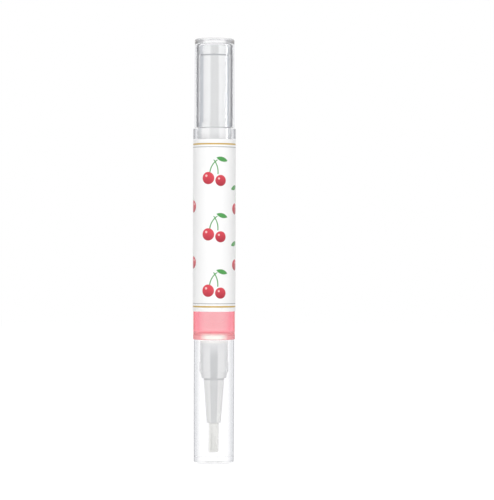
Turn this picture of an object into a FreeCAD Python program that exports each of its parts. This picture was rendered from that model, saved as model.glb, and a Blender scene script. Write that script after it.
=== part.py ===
"""Twist-up nail oil pen with a push-on clear cap.

The pen stands on the flat end of its cap, with its axis on Z. The origin is the centre of that end,
and lengths are in millimetres. From the bottom up come the cap over the brush tip, the clear barrel
with its oil, piston and screw drive, and the clear twist knob. Turning the knob turns the drive core.
The core turns the flat-sided screw rod through a keyed hole, the fixed nut screws the rod forward, and
the rod pushes the piston. Sprung pawls on the core ride over saw teeth in the fixed sleeve, so the
knob turns one way only.
"""
import FreeCAD, Part
import os
import Sketcher

VECTOR = FreeCAD.Vector

# Driving sizes.
SIZES = {
    # Fits: fixed pieces, pieces that turn or slide, and end faces that pass each other.
    "seat_gap": 0.02,
    "run_gap": 0.06,
    "face_gap": 0.15,
    # How far the root of a rib, lug or tooth runs into the piece that carries it.
    "root_depth": 0.3,
    # Cap.
    "cap_wall": 1.85,
    "cap_end_wall": 1.85,
    "cap_draft": 0.12,
    "cap_bore_draft": 0.06,
    "cap_edge_round": 0.6,
    "cap_floor_round": 0.8,
    "cap_mouth_chamfer": 0.3,
    "tip_room": 1.7,
    # Bristles, their fused root and the tube that feeds them.
    "bristle_length": 9.75,
    "bristle_radius": 1.76,
    "bristle_taper": 0.14,
    "bristle_tip_round": 0.4,
    "bristle_root": 7.0,
    "anchor_length": 1.2,
    "anchor_step": 0.44,
    "feed_radius": 0.7,
    "feed_wall": 0.3,
    "feed_reach": 5.0,
    "feed_tail": 2.5,
    # Nozzle.
    "nozzle_length": 14.7,
    "nozzle_tip_radius": 2.31,
    "nozzle_radius": 3.4,
    "nozzle_flange_length": 1.2,
    # Tip collar and gasket.
    "collar_length": 12.65,
    "collar_radius": 4.55,
    "collar_wall": 0.62,
    "collar_lip": 1.6,
    "collar_taper": 0.55,
    "collar_taper_length": 2.2,
    "grip_rib_height": 0.2,
    "grip_rib_width": 0.8,
    "grip_rib_length": 3.0,
    "grip_rib_count": 6,
    "gasket_length": 0.9,
    # Barrel and label.
    "nipple_bore": 2.2,
    "barrel_radius": 6.9,
    "barrel_wall": 1.2,
    "barrel_front_wall": 1.0,
    "barrel_edge_chamfer": 0.25,
    "chamber_round": 2.2,
    "rear_band_length": 3.6,
    "label_thickness": 0.12,
    "label_front_margin": 9.25,
    "label_rear_gap": 0.1,
    "label_seam": 0.4,
    # Oil, piston and screw rod.
    "oil_length": 40.8,
    "piston_length": 5.0,
    "piston_lip": 1.0,
    "piston_waist": 0.4,
    "piston_recess": 1.0,
    "socket_lip": 0.9,
    "rod_radius": 2.0,
    "rod_flat": 1.55,
    "rod_head_radius": 2.6,
    "rod_head_length": 1.4,
    "rod_neck_radius": 1.35,
    "rod_room": 0.25,
    "rod_end_room": 0.3,
    "rod_end_chamfer": 0.3,
    # Nut and ratchet sleeve.
    "nut_length": 4.0,
    "nut_lug_width": 1.6,
    "nut_lug_length": 1.5,
    "nut_lug_count": 4,
    "sleeve_wall": 0.65,
    "sleeve_shoulder": 0.7,
    "sleeve_shoulder_length": 0.8,
    "sleeve_bead": 0.15,
    "sleeve_bead_length": 1.0,
    "sleeve_bead_inset": 1.2,
    "bearing_length": 18.5,
    "tooth_height": 0.45,
    "tooth_count": 16,
    "ratchet_margin": 0.3,
    # Drive core.
    "key_length": 2.5,
    "key_hold": 2.05,
    "hub_wall": 0.6,
    "hub_length": 7.5,
    "core_wall": 1.0,
    "core_bead": 0.2,
    "core_bead_length": 1.0,
    "core_bead_inset": 5.0,
    "core_flange": 0.5,
    "core_flange_length": 1.6,
    "core_rim_chamfer": 0.3,
    "pawl_inset": 0.7,
    "pawl_length": 2.6,
    "pawl_rise": 0.3,
    "pawl_root": 0.15,
    "pawl_count": 2,
    # Core plug and twist knob.
    "plug_head_length": 3.2,
    "plug_floor_wall": 1.8,
    "plug_spigot_length": 1.5,
    "plug_spigot_wall": 1.2,
    "plug_rib_width": 0.8,
    "plug_rib_inset": 0.4,
    "plug_rib_count": 8,
    "knob_wall": 1.2,
    "knob_end_wall": 1.25,
    "knob_draft": 0.15,
    "knob_edge_round": 0.45,
    "knob_floor_round": 1.0,
    "knob_mouth_chamfer": 0.2,
}

# Heights and radii that follow from the driving sizes.
PLACES = {
    # Heights from the end of the cap up to the end of the knob.
    "cap_floor": "Sizes.cap_end_wall",
    "bristle_tip": "cap_floor + Sizes.tip_room",
    "nozzle_tip": "bristle_tip + Sizes.bristle_length",
    "collar_front": "nozzle_tip + Sizes.nozzle_length",
    "barrel_front": "collar_front + Sizes.collar_length",
    "chamber_floor": "barrel_front + Sizes.barrel_front_wall",
    "piston_front": "chamber_floor + Sizes.oil_length",
    "piston_rear": "piston_front + Sizes.piston_length",
    "piston_travel": "Sizes.oil_length - Sizes.chamber_round - Sizes.face_gap",
    "nut_front": "piston_rear + Sizes.face_gap",
    "nut_rear": "nut_front + Sizes.nut_length",
    "barrel_rear": "nut_rear + Sizes.bearing_length",
    "core_front": "nut_rear + Sizes.face_gap",
    "key_rear": "core_front + Sizes.key_length",
    "rod_rear": "core_front + Sizes.key_hold + piston_travel",
    "core_rear": "rod_rear + Sizes.rod_end_room + Sizes.plug_spigot_length",
    "plug_rear": "core_rear + Sizes.plug_head_length",
    "knob_mouth": "barrel_rear + Sizes.face_gap",
    "knob_floor": "plug_rear + Sizes.knob_floor_round",
    "knob_end": "knob_floor + Sizes.knob_end_wall",
    # Brush tip.
    "bristle_rear": "nozzle_tip + Sizes.bristle_root",
    "tuft_tip_radius": "Sizes.bristle_radius - Sizes.bristle_taper",
    "anchor_rear": "bristle_rear + Sizes.anchor_length",
    "anchor_radius": "Sizes.bristle_radius + Sizes.anchor_step",
    "feed_front": "bristle_rear - Sizes.feed_reach",
    "feed_pocket": "feed_front - Sizes.seat_gap",
    "feed_rear": "anchor_rear + Sizes.feed_tail",
    "feed_bore": "Sizes.feed_radius - Sizes.feed_wall",
    "feed_hole": "Sizes.feed_radius + Sizes.seat_gap",
    "nozzle_bore": "Sizes.bristle_radius + Sizes.seat_gap",
    "anchor_bore": "anchor_radius + Sizes.seat_gap",
    "collar_seat": "collar_front + Sizes.collar_lip",
    "collar_shoulder": "collar_front + Sizes.collar_taper_length",
    "collar_front_radius": "Sizes.collar_radius - Sizes.collar_taper",
    "collar_bore": "Sizes.collar_radius - Sizes.collar_wall",
    "collar_hole": "Sizes.nozzle_radius + Sizes.seat_gap",
    "flange_radius": "collar_bore - Sizes.seat_gap",
    "nozzle_rear": "collar_seat + Sizes.nozzle_flange_length",
    "nipple_front": "nozzle_rear + Sizes.gasket_length",
    "grip_rib_radius": "Sizes.collar_radius + Sizes.grip_rib_height",
    "grip_rib_root": "Sizes.collar_radius - Sizes.root_depth",
    "grip_rib_side": "Sizes.grip_rib_width / 2",
    # Cap.
    "cap_mouth": "barrel_front - Sizes.seat_gap",
    "cap_bore_end": "sqrt(grip_rib_radius ^ 2 + grip_rib_side ^ 2) + Sizes.run_gap",
    "cap_bore_mouth": "cap_bore_end + Sizes.cap_bore_draft",
    "cap_radius": "cap_bore_mouth + Sizes.cap_wall",
    "cap_end_radius": "cap_radius - Sizes.cap_draft",
    # Barrel, label and oil.
    "barrel_bore": "Sizes.barrel_radius - Sizes.barrel_wall",
    "band_radius": "Sizes.barrel_radius + Sizes.seat_gap + Sizes.label_thickness",
    "band_front": "barrel_rear - Sizes.rear_band_length",
    "bead_rear": "barrel_rear - Sizes.sleeve_bead_inset",
    "bead_front": "bead_rear - Sizes.sleeve_bead_length",
    "bead_radius": "sleeve_radius + Sizes.sleeve_bead",
    "bead_groove_rear": "bead_rear + Sizes.seat_gap",
    "bead_groove_front": "bead_front - Sizes.seat_gap",
    "bead_groove_radius": "bead_radius + Sizes.seat_gap",
    "label_bore": "Sizes.barrel_radius + Sizes.seat_gap",
    "label_front": "barrel_front + Sizes.label_front_margin",
    "label_rear": "band_front - Sizes.label_rear_gap",
    "label_length": "label_rear - label_front",
    "seam_side": "Sizes.label_seam / 2",
    "seam_inner": "label_bore - Sizes.root_depth",
    "seam_outer": "band_radius + Sizes.root_depth",
    "stem_front": "nipple_front + Sizes.seat_gap",
    "stem_radius": "Sizes.nipple_bore - Sizes.seat_gap",
    "oil_front": "chamber_floor + Sizes.seat_gap",
    "oil_rear": "piston_front - Sizes.seat_gap",
    "oil_radius": "barrel_bore - Sizes.seat_gap",
    # Piston and screw rod.
    "piston_radius": "barrel_bore - Sizes.run_gap",
    "piston_waist_radius": "piston_radius - Sizes.piston_waist",
    "front_lip_rear": "piston_front + Sizes.piston_lip",
    "front_waist": "front_lip_rear + Sizes.piston_waist",
    "rear_lip_front": "piston_rear - Sizes.piston_lip",
    "rear_waist": "rear_lip_front - Sizes.piston_waist",
    "recess_front": "piston_rear - Sizes.piston_recess",
    "recess_radius": "Sizes.rod_radius + Sizes.rod_room",
    "socket_rear": "recess_front - Sizes.socket_lip",
    "socket_front": "socket_rear - Sizes.rod_head_length - 2 * Sizes.face_gap",
    "socket_hole": "Sizes.rod_neck_radius + Sizes.run_gap",
    "socket_radius": "Sizes.rod_head_radius + Sizes.run_gap",
    "head_front": "socket_front + Sizes.face_gap",
    "head_rear": "socket_rear - Sizes.face_gap",
    "thread_front": "recess_front + Sizes.face_gap",
    "thread_length": "rod_rear - thread_front",
    "flat_low": "-Sizes.rod_flat",
    "flat_cut_high": "Sizes.rod_radius + Sizes.root_depth",
    "flat_cut_low": "-flat_cut_high",
    # Nut and ratchet sleeve.
    "sleeve_radius": "barrel_bore - Sizes.seat_gap",
    "sleeve_bore": "sleeve_radius - Sizes.sleeve_wall",
    "shoulder_radius": "sleeve_bore - Sizes.sleeve_shoulder",
    "shoulder_rear": "nut_rear + Sizes.sleeve_shoulder_length",
    "nut_radius": "sleeve_bore - Sizes.seat_gap",
    "nut_bore": "Sizes.rod_radius + Sizes.run_gap",
    "lug_side": "Sizes.nut_lug_width / 2",
    "lug_root": "nut_radius - Sizes.root_depth",
    "lug_radius": "sleeve_radius - Sizes.run_gap",
    "notch_side": "lug_side + Sizes.seat_gap",
    "notch_inner": "sleeve_bore - Sizes.root_depth",
    "notch_outer": "sleeve_radius + Sizes.root_depth",
    "notch_length": "Sizes.nut_lug_length + Sizes.seat_gap",
    "tooth_tip_radius": "sleeve_bore - Sizes.tooth_height",
    "tooth_root_radius": "sleeve_bore + Sizes.root_depth",
    "tooth_heel_x": "tooth_root_radius * cos(360 / Sizes.tooth_count)",
    "tooth_heel_y": "tooth_root_radius * sin(360 / Sizes.tooth_count)",
    "ratchet_front": "pawl_front - Sizes.ratchet_margin",
    "ratchet_length": "Sizes.pawl_length + 2 * Sizes.ratchet_margin",
    # Drive core.
    "core_radius": "sleeve_bore - Sizes.run_gap",
    "core_bore": "core_radius - Sizes.core_wall",
    "hub_bore": "Sizes.rod_radius + Sizes.rod_room",
    "hub_radius": "hub_bore + Sizes.hub_wall",
    "hub_rear": "core_front + Sizes.hub_length",
    "bore_step": "hub_rear + Sizes.core_wall",
    "core_bead_radius": "core_radius + Sizes.core_bead",
    "core_bead_rear": "barrel_rear - Sizes.core_bead_inset",
    "core_bead_front": "core_bead_rear - Sizes.core_bead_length",
    "core_groove_radius": "core_bead_radius + Sizes.run_gap",
    "core_groove_rear": "core_bead_rear + Sizes.face_gap",
    "core_groove_front": "core_bead_front - Sizes.face_gap",
    "core_flange_radius": "core_radius + Sizes.core_flange",
    "core_flange_rear": "knob_mouth + Sizes.core_flange_length",
    "key_radius": "Sizes.rod_radius + Sizes.run_gap",
    "key_flat": "Sizes.rod_flat + Sizes.run_gap",
    "key_corner": "sqrt(key_radius ^ 2 - key_flat ^ 2)",
    "pawl_front": "key_rear + Sizes.pawl_inset",
    "pawl_tip_radius": "tooth_tip_radius - Sizes.run_gap",
    "pawl_top": "-hub_radius - Sizes.pawl_rise",
    "pawl_foot": "-hub_radius + Sizes.pawl_root",
    "pawl_reach": "sqrt(pawl_tip_radius ^ 2 - pawl_top ^ 2)",
    # Core plug and twist knob.
    "spigot_radius": "core_bore - Sizes.seat_gap",
    "spigot_bore": "spigot_radius - Sizes.plug_spigot_wall",
    "spigot_front": "core_rear - Sizes.plug_spigot_length",
    "plug_floor": "plug_rear - Sizes.plug_floor_wall",
    "plug_rib_front": "core_rear + Sizes.plug_rib_inset",
    "plug_rib_length": "Sizes.plug_head_length - 2 * Sizes.plug_rib_inset",
    "plug_rib_side": "Sizes.plug_rib_width / 2",
    "plug_rib_root": "core_radius - Sizes.root_depth",
    "plug_rib_radius": "sqrt(core_flange_radius ^ 2 - plug_rib_side ^ 2)",
    "knob_bore": "core_flange_radius + Sizes.seat_gap",
    "knob_radius": "knob_bore + Sizes.knob_wall",
    "knob_end_radius": "knob_radius - Sizes.knob_draft",
}

doc = FreeCAD.newDocument("NailOilPen")


def fill_sheet(name, cells):
    """Add a sheet with one row for each named cell: the name, then its number or formula."""
    sheet = doc.addObject("Spreadsheet::Sheet", name)
    for row, (alias, content) in enumerate(cells.items(), start=1):
        sheet.set(f"A{row}", alias)
        sheet.set(f"B{row}", content)
        sheet.setAlias(f"B{row}", alias)
    return sheet


sizes = fill_sheet("Sizes", {alias: str(value) for alias, value in SIZES.items()})
fill_sheet("Places", {alias: "=" + formula for alias, formula in PLACES.items()})
doc.recompute()


def cell(name):
    """Return the formula that reads a named size or place; a leading minus sign is kept."""
    if name == "0":
        return name
    if name.startswith("-"):
        return "-" + cell(name[1:])
    return ("Sizes." if name in SIZES else "Places.") + name


def value(name):
    """Return the present number of a named size or place."""
    return float(sizes.evalExpression(cell(name)))


def origin_feature(body, role):
    """Return a body's own origin plane or axis."""
    return next(item for item in body.Origin.OriginFeatures if item.Role == role)


def new_body(label):
    """Return an empty body for one sub-part."""
    body = doc.addObject("PartDesign::Body", label)
    body.Label = label
    return body


def new_sketch(body, name, role, height="0"):
    """Return an empty sketch on one of the body's own planes, raised to a named height."""
    sketch = body.newObject("Sketcher::SketchObject", name)
    sketch.AttachmentSupport = [(origin_feature(body, role), "")]
    sketch.MapMode = "FlatFace"
    if height != "0":
        sketch.setExpression("AttachmentOffset.Base.z", cell(height))
    return sketch


def place_point(sketch, edge, end, across, up):
    """Tie one end of an edge to two named distances from the sketch origin."""
    for kind, axis, name in (("DistanceX", -2, across), ("DistanceY", -1, up)):
        if name == "0":
            sketch.addConstraint(Sketcher.Constraint("PointOnObject", edge, end, axis))
        else:
            index = sketch.addConstraint(Sketcher.Constraint(kind, -1, 1, edge, end, value(name)))
            sketch.setExpression(f"Constraints[{index}]", cell(name))


def draw_outline(sketch, points):
    """Draw a closed outline of straight edges through points given as pairs of names."""
    first = sketch.GeometryCount
    spots = [VECTOR(value(across), value(up), 0) for across, up in points]
    count = len(points)
    for index, spot in enumerate(spots):
        sketch.addGeometry(Part.LineSegment(spot, spots[(index + 1) % count]), False)
    for index, (across, up) in enumerate(points):
        following = first + (index + 1) % count
        sketch.addConstraint(Sketcher.Constraint("Coincident", first + index, 2, following, 1))
        place_point(sketch, first + index, 1, across, up)


def turned(label, points):
    """Return a body turned about Z from an outline of (radius, height) names."""
    body = new_body(label)
    sketch = new_sketch(body, label + "_profile", "XZ_Plane")
    draw_outline(sketch, points)
    turn = body.newObject("PartDesign::Revolution", label + "_turn")
    turn.Profile = sketch
    turn.ReferenceAxis = (sketch, ["V_Axis"])
    turn.Angle = 360
    doc.recompute()
    return body


def ring_edges(feature, rings):
    """Return the names of the circular edges with the given (radius, height) names."""
    wanted = [(value(radius), value(height)) for radius, height in rings]
    names = []
    for number, edge in enumerate(feature.Shape.Edges, start=1):
        if not isinstance(edge.Curve, Part.Circle):
            continue
        radius, height = edge.Curve.Radius, edge.Curve.Center.z
        if any(abs(radius - r) < 1e-4 and abs(height - z) < 1e-4 for r, z in wanted):
            names.append(f"Edge{number}")
    return names


def rounded(body, name, rings, size):
    """Round the named circular edges of a body."""
    base = body.Tip
    fillet = body.newObject("PartDesign::Fillet", name)
    fillet.Base = (base, ring_edges(base, rings))
    fillet.setExpression("Radius", cell(size))
    doc.recompute()


def chamfered(body, name, rings, size):
    """Chamfer the named circular edges of a body."""
    base = body.Tip
    chamfer = body.newObject("PartDesign::Chamfer", name)
    chamfer.Base = (base, ring_edges(base, rings))
    chamfer.setExpression("Size", cell(size))
    doc.recompute()


def padded(body, name, sketch, length):
    """Add the sketch to the body as a prism that rises by the named length."""
    pad = body.newObject("PartDesign::Pad", name)
    pad.Profile = sketch
    pad.setExpression("Length", cell(length))
    doc.recompute()
    return pad


def pocketed(body, name, sketch, length):
    """Cut the sketch out of the body as a prism that rises by the named length."""
    pocket = body.newObject("PartDesign::Pocket", name)
    pocket.Profile = sketch
    pocket.Reversed = True
    pocket.setExpression("Length", cell(length))
    doc.recompute()
    return pocket


def patterned(body, name, feature, count):
    """Repeat a feature evenly round Z."""
    pattern = body.newObject("PartDesign::PolarPattern", name)
    pattern.Originals = [feature]
    pattern.Axis = (origin_feature(body, "Z_Axis"), [""])
    pattern.Angle = 360
    pattern.setExpression("Occurrences", cell(count))
    body.Tip = pattern
    doc.recompute()


def radial_block(side, inner, outer):
    """Return the outline of a block that straddles the Y axis between two radii."""
    return [("-" + side, inner), (side, inner), (side, outer), ("-" + side, outer)]


def make_cap():
    """Clear cap: a thick cup with a drafted outside, and a bore that grips the collar ribs."""
    cap = turned("cap", [
        ("0", "0"),
        ("cap_end_radius", "0"),
        ("cap_radius", "cap_mouth"),
        ("cap_bore_mouth", "cap_mouth"),
        ("cap_bore_end", "cap_floor"),
        ("0", "cap_floor"),
    ])
    rounded(cap, "cap_edge", [("cap_end_radius", "0")], "cap_edge_round")
    rounded(cap, "cap_floor_edge", [("cap_bore_end", "cap_floor")], "cap_floor_round")
    chamfered(cap, "cap_mouth_edge", [("cap_bore_mouth", "cap_mouth")], "cap_mouth_chamfer")
    return cap


def make_bristles():
    """Bristle tuft, with a pocket in its root for the feed tube."""
    tuft = turned("bristles", [
        ("0", "bristle_tip"),
        ("tuft_tip_radius", "bristle_tip"),
        ("bristle_radius", "nozzle_tip"),
        ("bristle_radius", "bristle_rear"),
        ("feed_hole", "bristle_rear"),
        ("feed_hole", "feed_pocket"),
        ("0", "feed_pocket"),
    ])
    rounded(tuft, "bristle_tip_edge", [("tuft_tip_radius", "bristle_tip")], "bristle_tip_round")
    return tuft


def make_bristle_anchor():
    """Fused root of the bristles, a ring that seats on the step in the nozzle."""
    return turned("bristle_anchor", [
        ("feed_hole", "bristle_rear"),
        ("anchor_radius", "bristle_rear"),
        ("anchor_radius", "anchor_rear"),
        ("feed_hole", "anchor_rear"),
    ])


def make_feed_tube():
    """Thin tube through the anchor that brings oil into the bristles."""
    return turned("feed_tube", [
        ("feed_bore", "feed_front"),
        ("feed_radius", "feed_front"),
        ("feed_radius", "feed_rear"),
        ("feed_bore", "feed_rear"),
    ])


def make_nozzle():
    """Tapered brush holder with a stepped bore, and a flange that the collar holds."""
    return turned("brush_nozzle", [
        ("nozzle_bore", "nozzle_tip"),
        ("nozzle_tip_radius", "nozzle_tip"),
        ("nozzle_radius", "collar_front"),
        ("nozzle_radius", "collar_seat"),
        ("flange_radius", "collar_seat"),
        ("flange_radius", "nozzle_rear"),
        ("anchor_bore", "nozzle_rear"),
        ("anchor_bore", "bristle_rear"),
        ("nozzle_bore", "bristle_rear"),
    ])


def make_collar():
    """Collar pressed on the barrel nipple, with a lip for the nozzle and grip ribs for the cap."""
    collar = turned("tip_collar", [
        ("collar_hole", "collar_front"),
        ("collar_front_radius", "collar_front"),
        ("collar_radius", "collar_shoulder"),
        ("collar_radius", "barrel_front"),
        ("collar_bore", "barrel_front"),
        ("collar_bore", "collar_seat"),
        ("collar_hole", "collar_seat"),
    ])
    sketch = new_sketch(collar, "grip_rib_outline", "XY_Plane", "collar_shoulder")
    draw_outline(sketch, radial_block("grip_rib_side", "grip_rib_root", "grip_rib_radius"))
    rib = padded(collar, "grip_rib", sketch, "grip_rib_length")
    patterned(collar, "grip_ribs", rib, "grip_rib_count")
    return collar


def make_gasket():
    """Flat washer between the nozzle flange and the end of the barrel nipple."""
    return turned("tip_gasket", [
        ("nipple_bore", "nozzle_rear"),
        ("flange_radius", "nozzle_rear"),
        ("flange_radius", "nipple_front"),
        ("nipple_bore", "nipple_front"),
    ])


def make_barrel():
    """Clear barrel: oil chamber, front wall and nipple, rear band, and a groove for the sleeve bead."""
    barrel = turned("barrel", [
        ("nipple_bore", "nipple_front"),
        ("flange_radius", "nipple_front"),
        ("flange_radius", "barrel_front"),
        ("barrel_radius", "barrel_front"),
        ("barrel_radius", "band_front"),
        ("band_radius", "band_front"),
        ("band_radius", "barrel_rear"),
        ("barrel_bore", "barrel_rear"),
        ("barrel_bore", "bead_groove_rear"),
        ("bead_groove_radius", "bead_groove_rear"),
        ("bead_groove_radius", "bead_groove_front"),
        ("barrel_bore", "bead_groove_front"),
        ("barrel_bore", "chamber_floor"),
        ("nipple_bore", "chamber_floor"),
    ])
    rounded(barrel, "chamber_edge", [("barrel_bore", "chamber_floor")], "chamber_round")
    chamfered(barrel, "barrel_edges", [
        ("barrel_radius", "barrel_front"),
        ("band_radius", "barrel_rear"),
    ], "barrel_edge_chamfer")
    return barrel


def make_label():
    """Label film wrapped round the barrel, with its seam at the back."""
    label = turned("label", [
        ("label_bore", "label_front"),
        ("band_radius", "label_front"),
        ("band_radius", "label_rear"),
        ("label_bore", "label_rear"),
    ])
    sketch = new_sketch(label, "seam_outline", "XY_Plane", "label_front")
    draw_outline(sketch, radial_block("seam_side", "seam_inner", "seam_outer"))
    pocketed(label, "seam", sketch, "label_length")
    return label


def make_oil():
    """Oil in the chamber and down the nipple."""
    oil = turned("oil_fill", [
        ("0", "stem_front"),
        ("stem_radius", "stem_front"),
        ("stem_radius", "oil_front"),
        ("oil_radius", "oil_front"),
        ("oil_radius", "oil_rear"),
        ("0", "oil_rear"),
    ])
    rounded(oil, "oil_edge", [("oil_radius", "oil_front")], "chamber_round")
    return oil


def make_piston():
    """Piston with two sealing lips, and a socket that the rod head snaps into."""
    return turned("piston", [
        ("0", "piston_front"),
        ("piston_radius", "piston_front"),
        ("piston_radius", "front_lip_rear"),
        ("piston_waist_radius", "front_waist"),
        ("piston_waist_radius", "rear_waist"),
        ("piston_radius", "rear_lip_front"),
        ("piston_radius", "piston_rear"),
        ("recess_radius", "piston_rear"),
        ("recess_radius", "recess_front"),
        ("socket_hole", "recess_front"),
        ("socket_hole", "socket_rear"),
        ("socket_radius", "socket_rear"),
        ("socket_radius", "socket_front"),
        ("0", "socket_front"),
    ])


def make_rod():
    """Screw rod: a head for the piston, a neck, and a long shank with two flats."""
    rod = turned("screw_rod", [
        ("0", "head_front"),
        ("rod_head_radius", "head_front"),
        ("rod_head_radius", "head_rear"),
        ("rod_neck_radius", "head_rear"),
        ("rod_neck_radius", "thread_front"),
        ("rod_radius", "thread_front"),
        ("rod_radius", "rod_rear"),
        ("0", "rod_rear"),
    ])
    chamfered(rod, "rod_end", [("rod_radius", "rod_rear")], "rod_end_chamfer")
    sketch = new_sketch(rod, "flats_outline", "XY_Plane", "thread_front")
    for near, far in (("rod_flat", "flat_cut_high"), ("flat_low", "flat_cut_low")):
        draw_outline(sketch, radial_block("flat_cut_high", near, far))
    pocketed(rod, "rod_flats", sketch, "thread_length")
    return rod


def make_nut():
    """Fixed nut with a bore for the screw rod, and lugs that key it to the sleeve."""
    nut = turned("thread_nut", [
        ("nut_bore", "nut_front"),
        ("nut_radius", "nut_front"),
        ("nut_radius", "nut_rear"),
        ("nut_bore", "nut_rear"),
    ])
    sketch = new_sketch(nut, "lug_outline", "XY_Plane", "nut_front")
    draw_outline(sketch, radial_block("lug_side", "lug_root", "lug_radius"))
    lug = padded(nut, "lug", sketch, "nut_lug_length")
    patterned(nut, "lugs", lug, "nut_lug_count")
    return nut


def make_sleeve():
    """Sleeve fixed in the barrel: it backs the nut, carries the saw teeth and holds the core bead."""
    sleeve = turned("ratchet_sleeve", [
        ("sleeve_bore", "nut_front"),
        ("sleeve_radius", "nut_front"),
        ("sleeve_radius", "bead_front"),
        ("bead_radius", "bead_front"),
        ("bead_radius", "bead_rear"),
        ("sleeve_radius", "bead_rear"),
        ("sleeve_radius", "barrel_rear"),
        ("sleeve_bore", "barrel_rear"),
        ("sleeve_bore", "core_groove_rear"),
        ("core_groove_radius", "core_groove_rear"),
        ("core_groove_radius", "core_groove_front"),
        ("sleeve_bore", "core_groove_front"),
        ("sleeve_bore", "shoulder_rear"),
        ("shoulder_radius", "shoulder_rear"),
        ("shoulder_radius", "nut_rear"),
        ("sleeve_bore", "nut_rear"),
    ])
    notch_sketch = new_sketch(sleeve, "notch_outline", "XY_Plane", "nut_front")
    draw_outline(notch_sketch, radial_block("notch_side", "notch_inner", "notch_outer"))
    notch = pocketed(sleeve, "notch", notch_sketch, "notch_length")
    patterned(sleeve, "notches", notch, "nut_lug_count")
    tooth_sketch = new_sketch(sleeve, "tooth_outline", "XY_Plane", "ratchet_front")
    draw_outline(tooth_sketch, [
        ("tooth_tip_radius", "0"),
        ("tooth_root_radius", "0"),
        ("tooth_heel_x", "tooth_heel_y"),
    ])
    tooth = padded(sleeve, "tooth", tooth_sketch, "ratchet_length")
    patterned(sleeve, "teeth", tooth, "tooth_count")
    return sleeve


def draw_key(sketch):
    """Draw a round hole with two flats, as two arcs about the origin joined by two lines."""
    radius = value("key_radius")
    corner = VECTOR(value("key_corner"), value("key_flat"), 0)
    centre = VECTOR(0, 0, 0)
    up = VECTOR(0, 0, 1)
    half_angle = Part.ArcOfCircle(Part.Circle(centre, up, radius), 0, 1).Circle.parameter(corner)
    pi = Part.Circle(centre, up, radius).parameter(VECTOR(-radius, 0, 0))
    spots = [(-half_angle, half_angle), (pi - half_angle, pi + half_angle)]
    right, left = [
        sketch.addGeometry(Part.ArcOfCircle(Part.Circle(centre, up, radius), start, end), False)
        for start, end in spots
    ]
    top = sketch.addGeometry(Part.LineSegment(corner, VECTOR(-corner.x, corner.y, 0)), False)
    bottom = sketch.addGeometry(Part.LineSegment(VECTOR(-corner.x, -corner.y, 0),
                                                 VECTOR(corner.x, -corner.y, 0)), False)
    for arc in (right, left):
        sketch.addConstraint(Sketcher.Constraint("Coincident", arc, 3, -1, 1))
        index = sketch.addConstraint(Sketcher.Constraint("Radius", arc, radius))
        sketch.setExpression(f"Constraints[{index}]", cell("key_radius"))
    joints = [(right, 2, top, 1), (top, 2, left, 1), (left, 2, bottom, 1), (bottom, 2, right, 1)]
    for joint in joints:
        sketch.addConstraint(Sketcher.Constraint("Coincident", *joint))
    for line, name in ((top, "key_flat"), (bottom, "-key_flat")):
        sketch.addConstraint(Sketcher.Constraint("Horizontal", line))
        index = sketch.addConstraint(Sketcher.Constraint("DistanceY", -1, 1, line, 1, value(name)))
        sketch.setExpression(f"Constraints[{index}]", cell(name))


def make_core():
    """Drive core: a keyed hub with leaf pawls, a bearing tube with a snap bead, and the knob flange."""
    core = turned("drive_core", [
        ("0", "core_front"),
        ("hub_radius", "core_front"),
        ("hub_radius", "hub_rear"),
        ("core_radius", "hub_rear"),
        ("core_radius", "core_bead_front"),
        ("core_bead_radius", "core_bead_front"),
        ("core_bead_radius", "core_bead_rear"),
        ("core_radius", "core_bead_rear"),
        ("core_radius", "knob_mouth"),
        ("core_flange_radius", "knob_mouth"),
        ("core_flange_radius", "core_flange_rear"),
        ("core_radius", "core_flange_rear"),
        ("core_radius", "core_rear"),
        ("core_bore", "core_rear"),
        ("core_bore", "bore_step"),
        ("hub_bore", "bore_step"),
        ("hub_bore", "key_rear"),
        ("0", "key_rear"),
    ])
    chamfered(core, "core_rim", [("core_radius", "core_rear")], "core_rim_chamfer")
    key_sketch = new_sketch(core, "key_outline", "XY_Plane", "core_front")
    draw_key(key_sketch)
    pocketed(core, "key_hole", key_sketch, "key_length")
    pawl_sketch = new_sketch(core, "pawl_outline", "XY_Plane", "pawl_front")
    draw_outline(pawl_sketch, [
        ("0", "pawl_top"),
        ("pawl_reach", "pawl_top"),
        ("pawl_reach", "pawl_foot"),
        ("0", "pawl_foot"),
    ])
    pawl = padded(core, "pawl", pawl_sketch, "pawl_length")
    patterned(core, "pawls", pawl, "pawl_count")
    return core


def make_plug():
    """Plug that closes the core, with ribs that grip the bore of the knob."""
    plug = turned("core_plug", [
        ("0", "plug_rear"),
        ("core_radius", "plug_rear"),
        ("core_radius", "core_rear"),
        ("spigot_radius", "core_rear"),
        ("spigot_radius", "spigot_front"),
        ("spigot_bore", "spigot_front"),
        ("spigot_bore", "plug_floor"),
        ("0", "plug_floor"),
    ])
    chamfered(plug, "plug_rims", [
        ("core_radius", "plug_rear"),
        ("core_radius", "core_rear"),
    ], "core_rim_chamfer")
    sketch = new_sketch(plug, "plug_rib_outline", "XY_Plane", "plug_rib_front")
    draw_outline(sketch, radial_block("plug_rib_side", "plug_rib_root", "plug_rib_radius"))
    rib = padded(plug, "plug_rib", sketch, "plug_rib_length")
    patterned(plug, "plug_ribs", rib, "plug_rib_count")
    return plug


def make_knob():
    """Clear twist knob: a drafted cup pressed over the core flange and the plug ribs."""
    knob = turned("twist_knob", [
        ("knob_bore", "knob_mouth"),
        ("knob_radius", "knob_mouth"),
        ("knob_end_radius", "knob_end"),
        ("0", "knob_end"),
        ("0", "knob_floor"),
        ("knob_bore", "knob_floor"),
    ])
    rounded(knob, "knob_edge", [("knob_end_radius", "knob_end")], "knob_edge_round")
    rounded(knob, "knob_floor_edge", [("knob_bore", "knob_floor")], "knob_floor_round")
    chamfered(knob, "knob_mouth_edge", [("knob_radius", "knob_mouth")], "knob_mouth_chamfer")
    return knob


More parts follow.
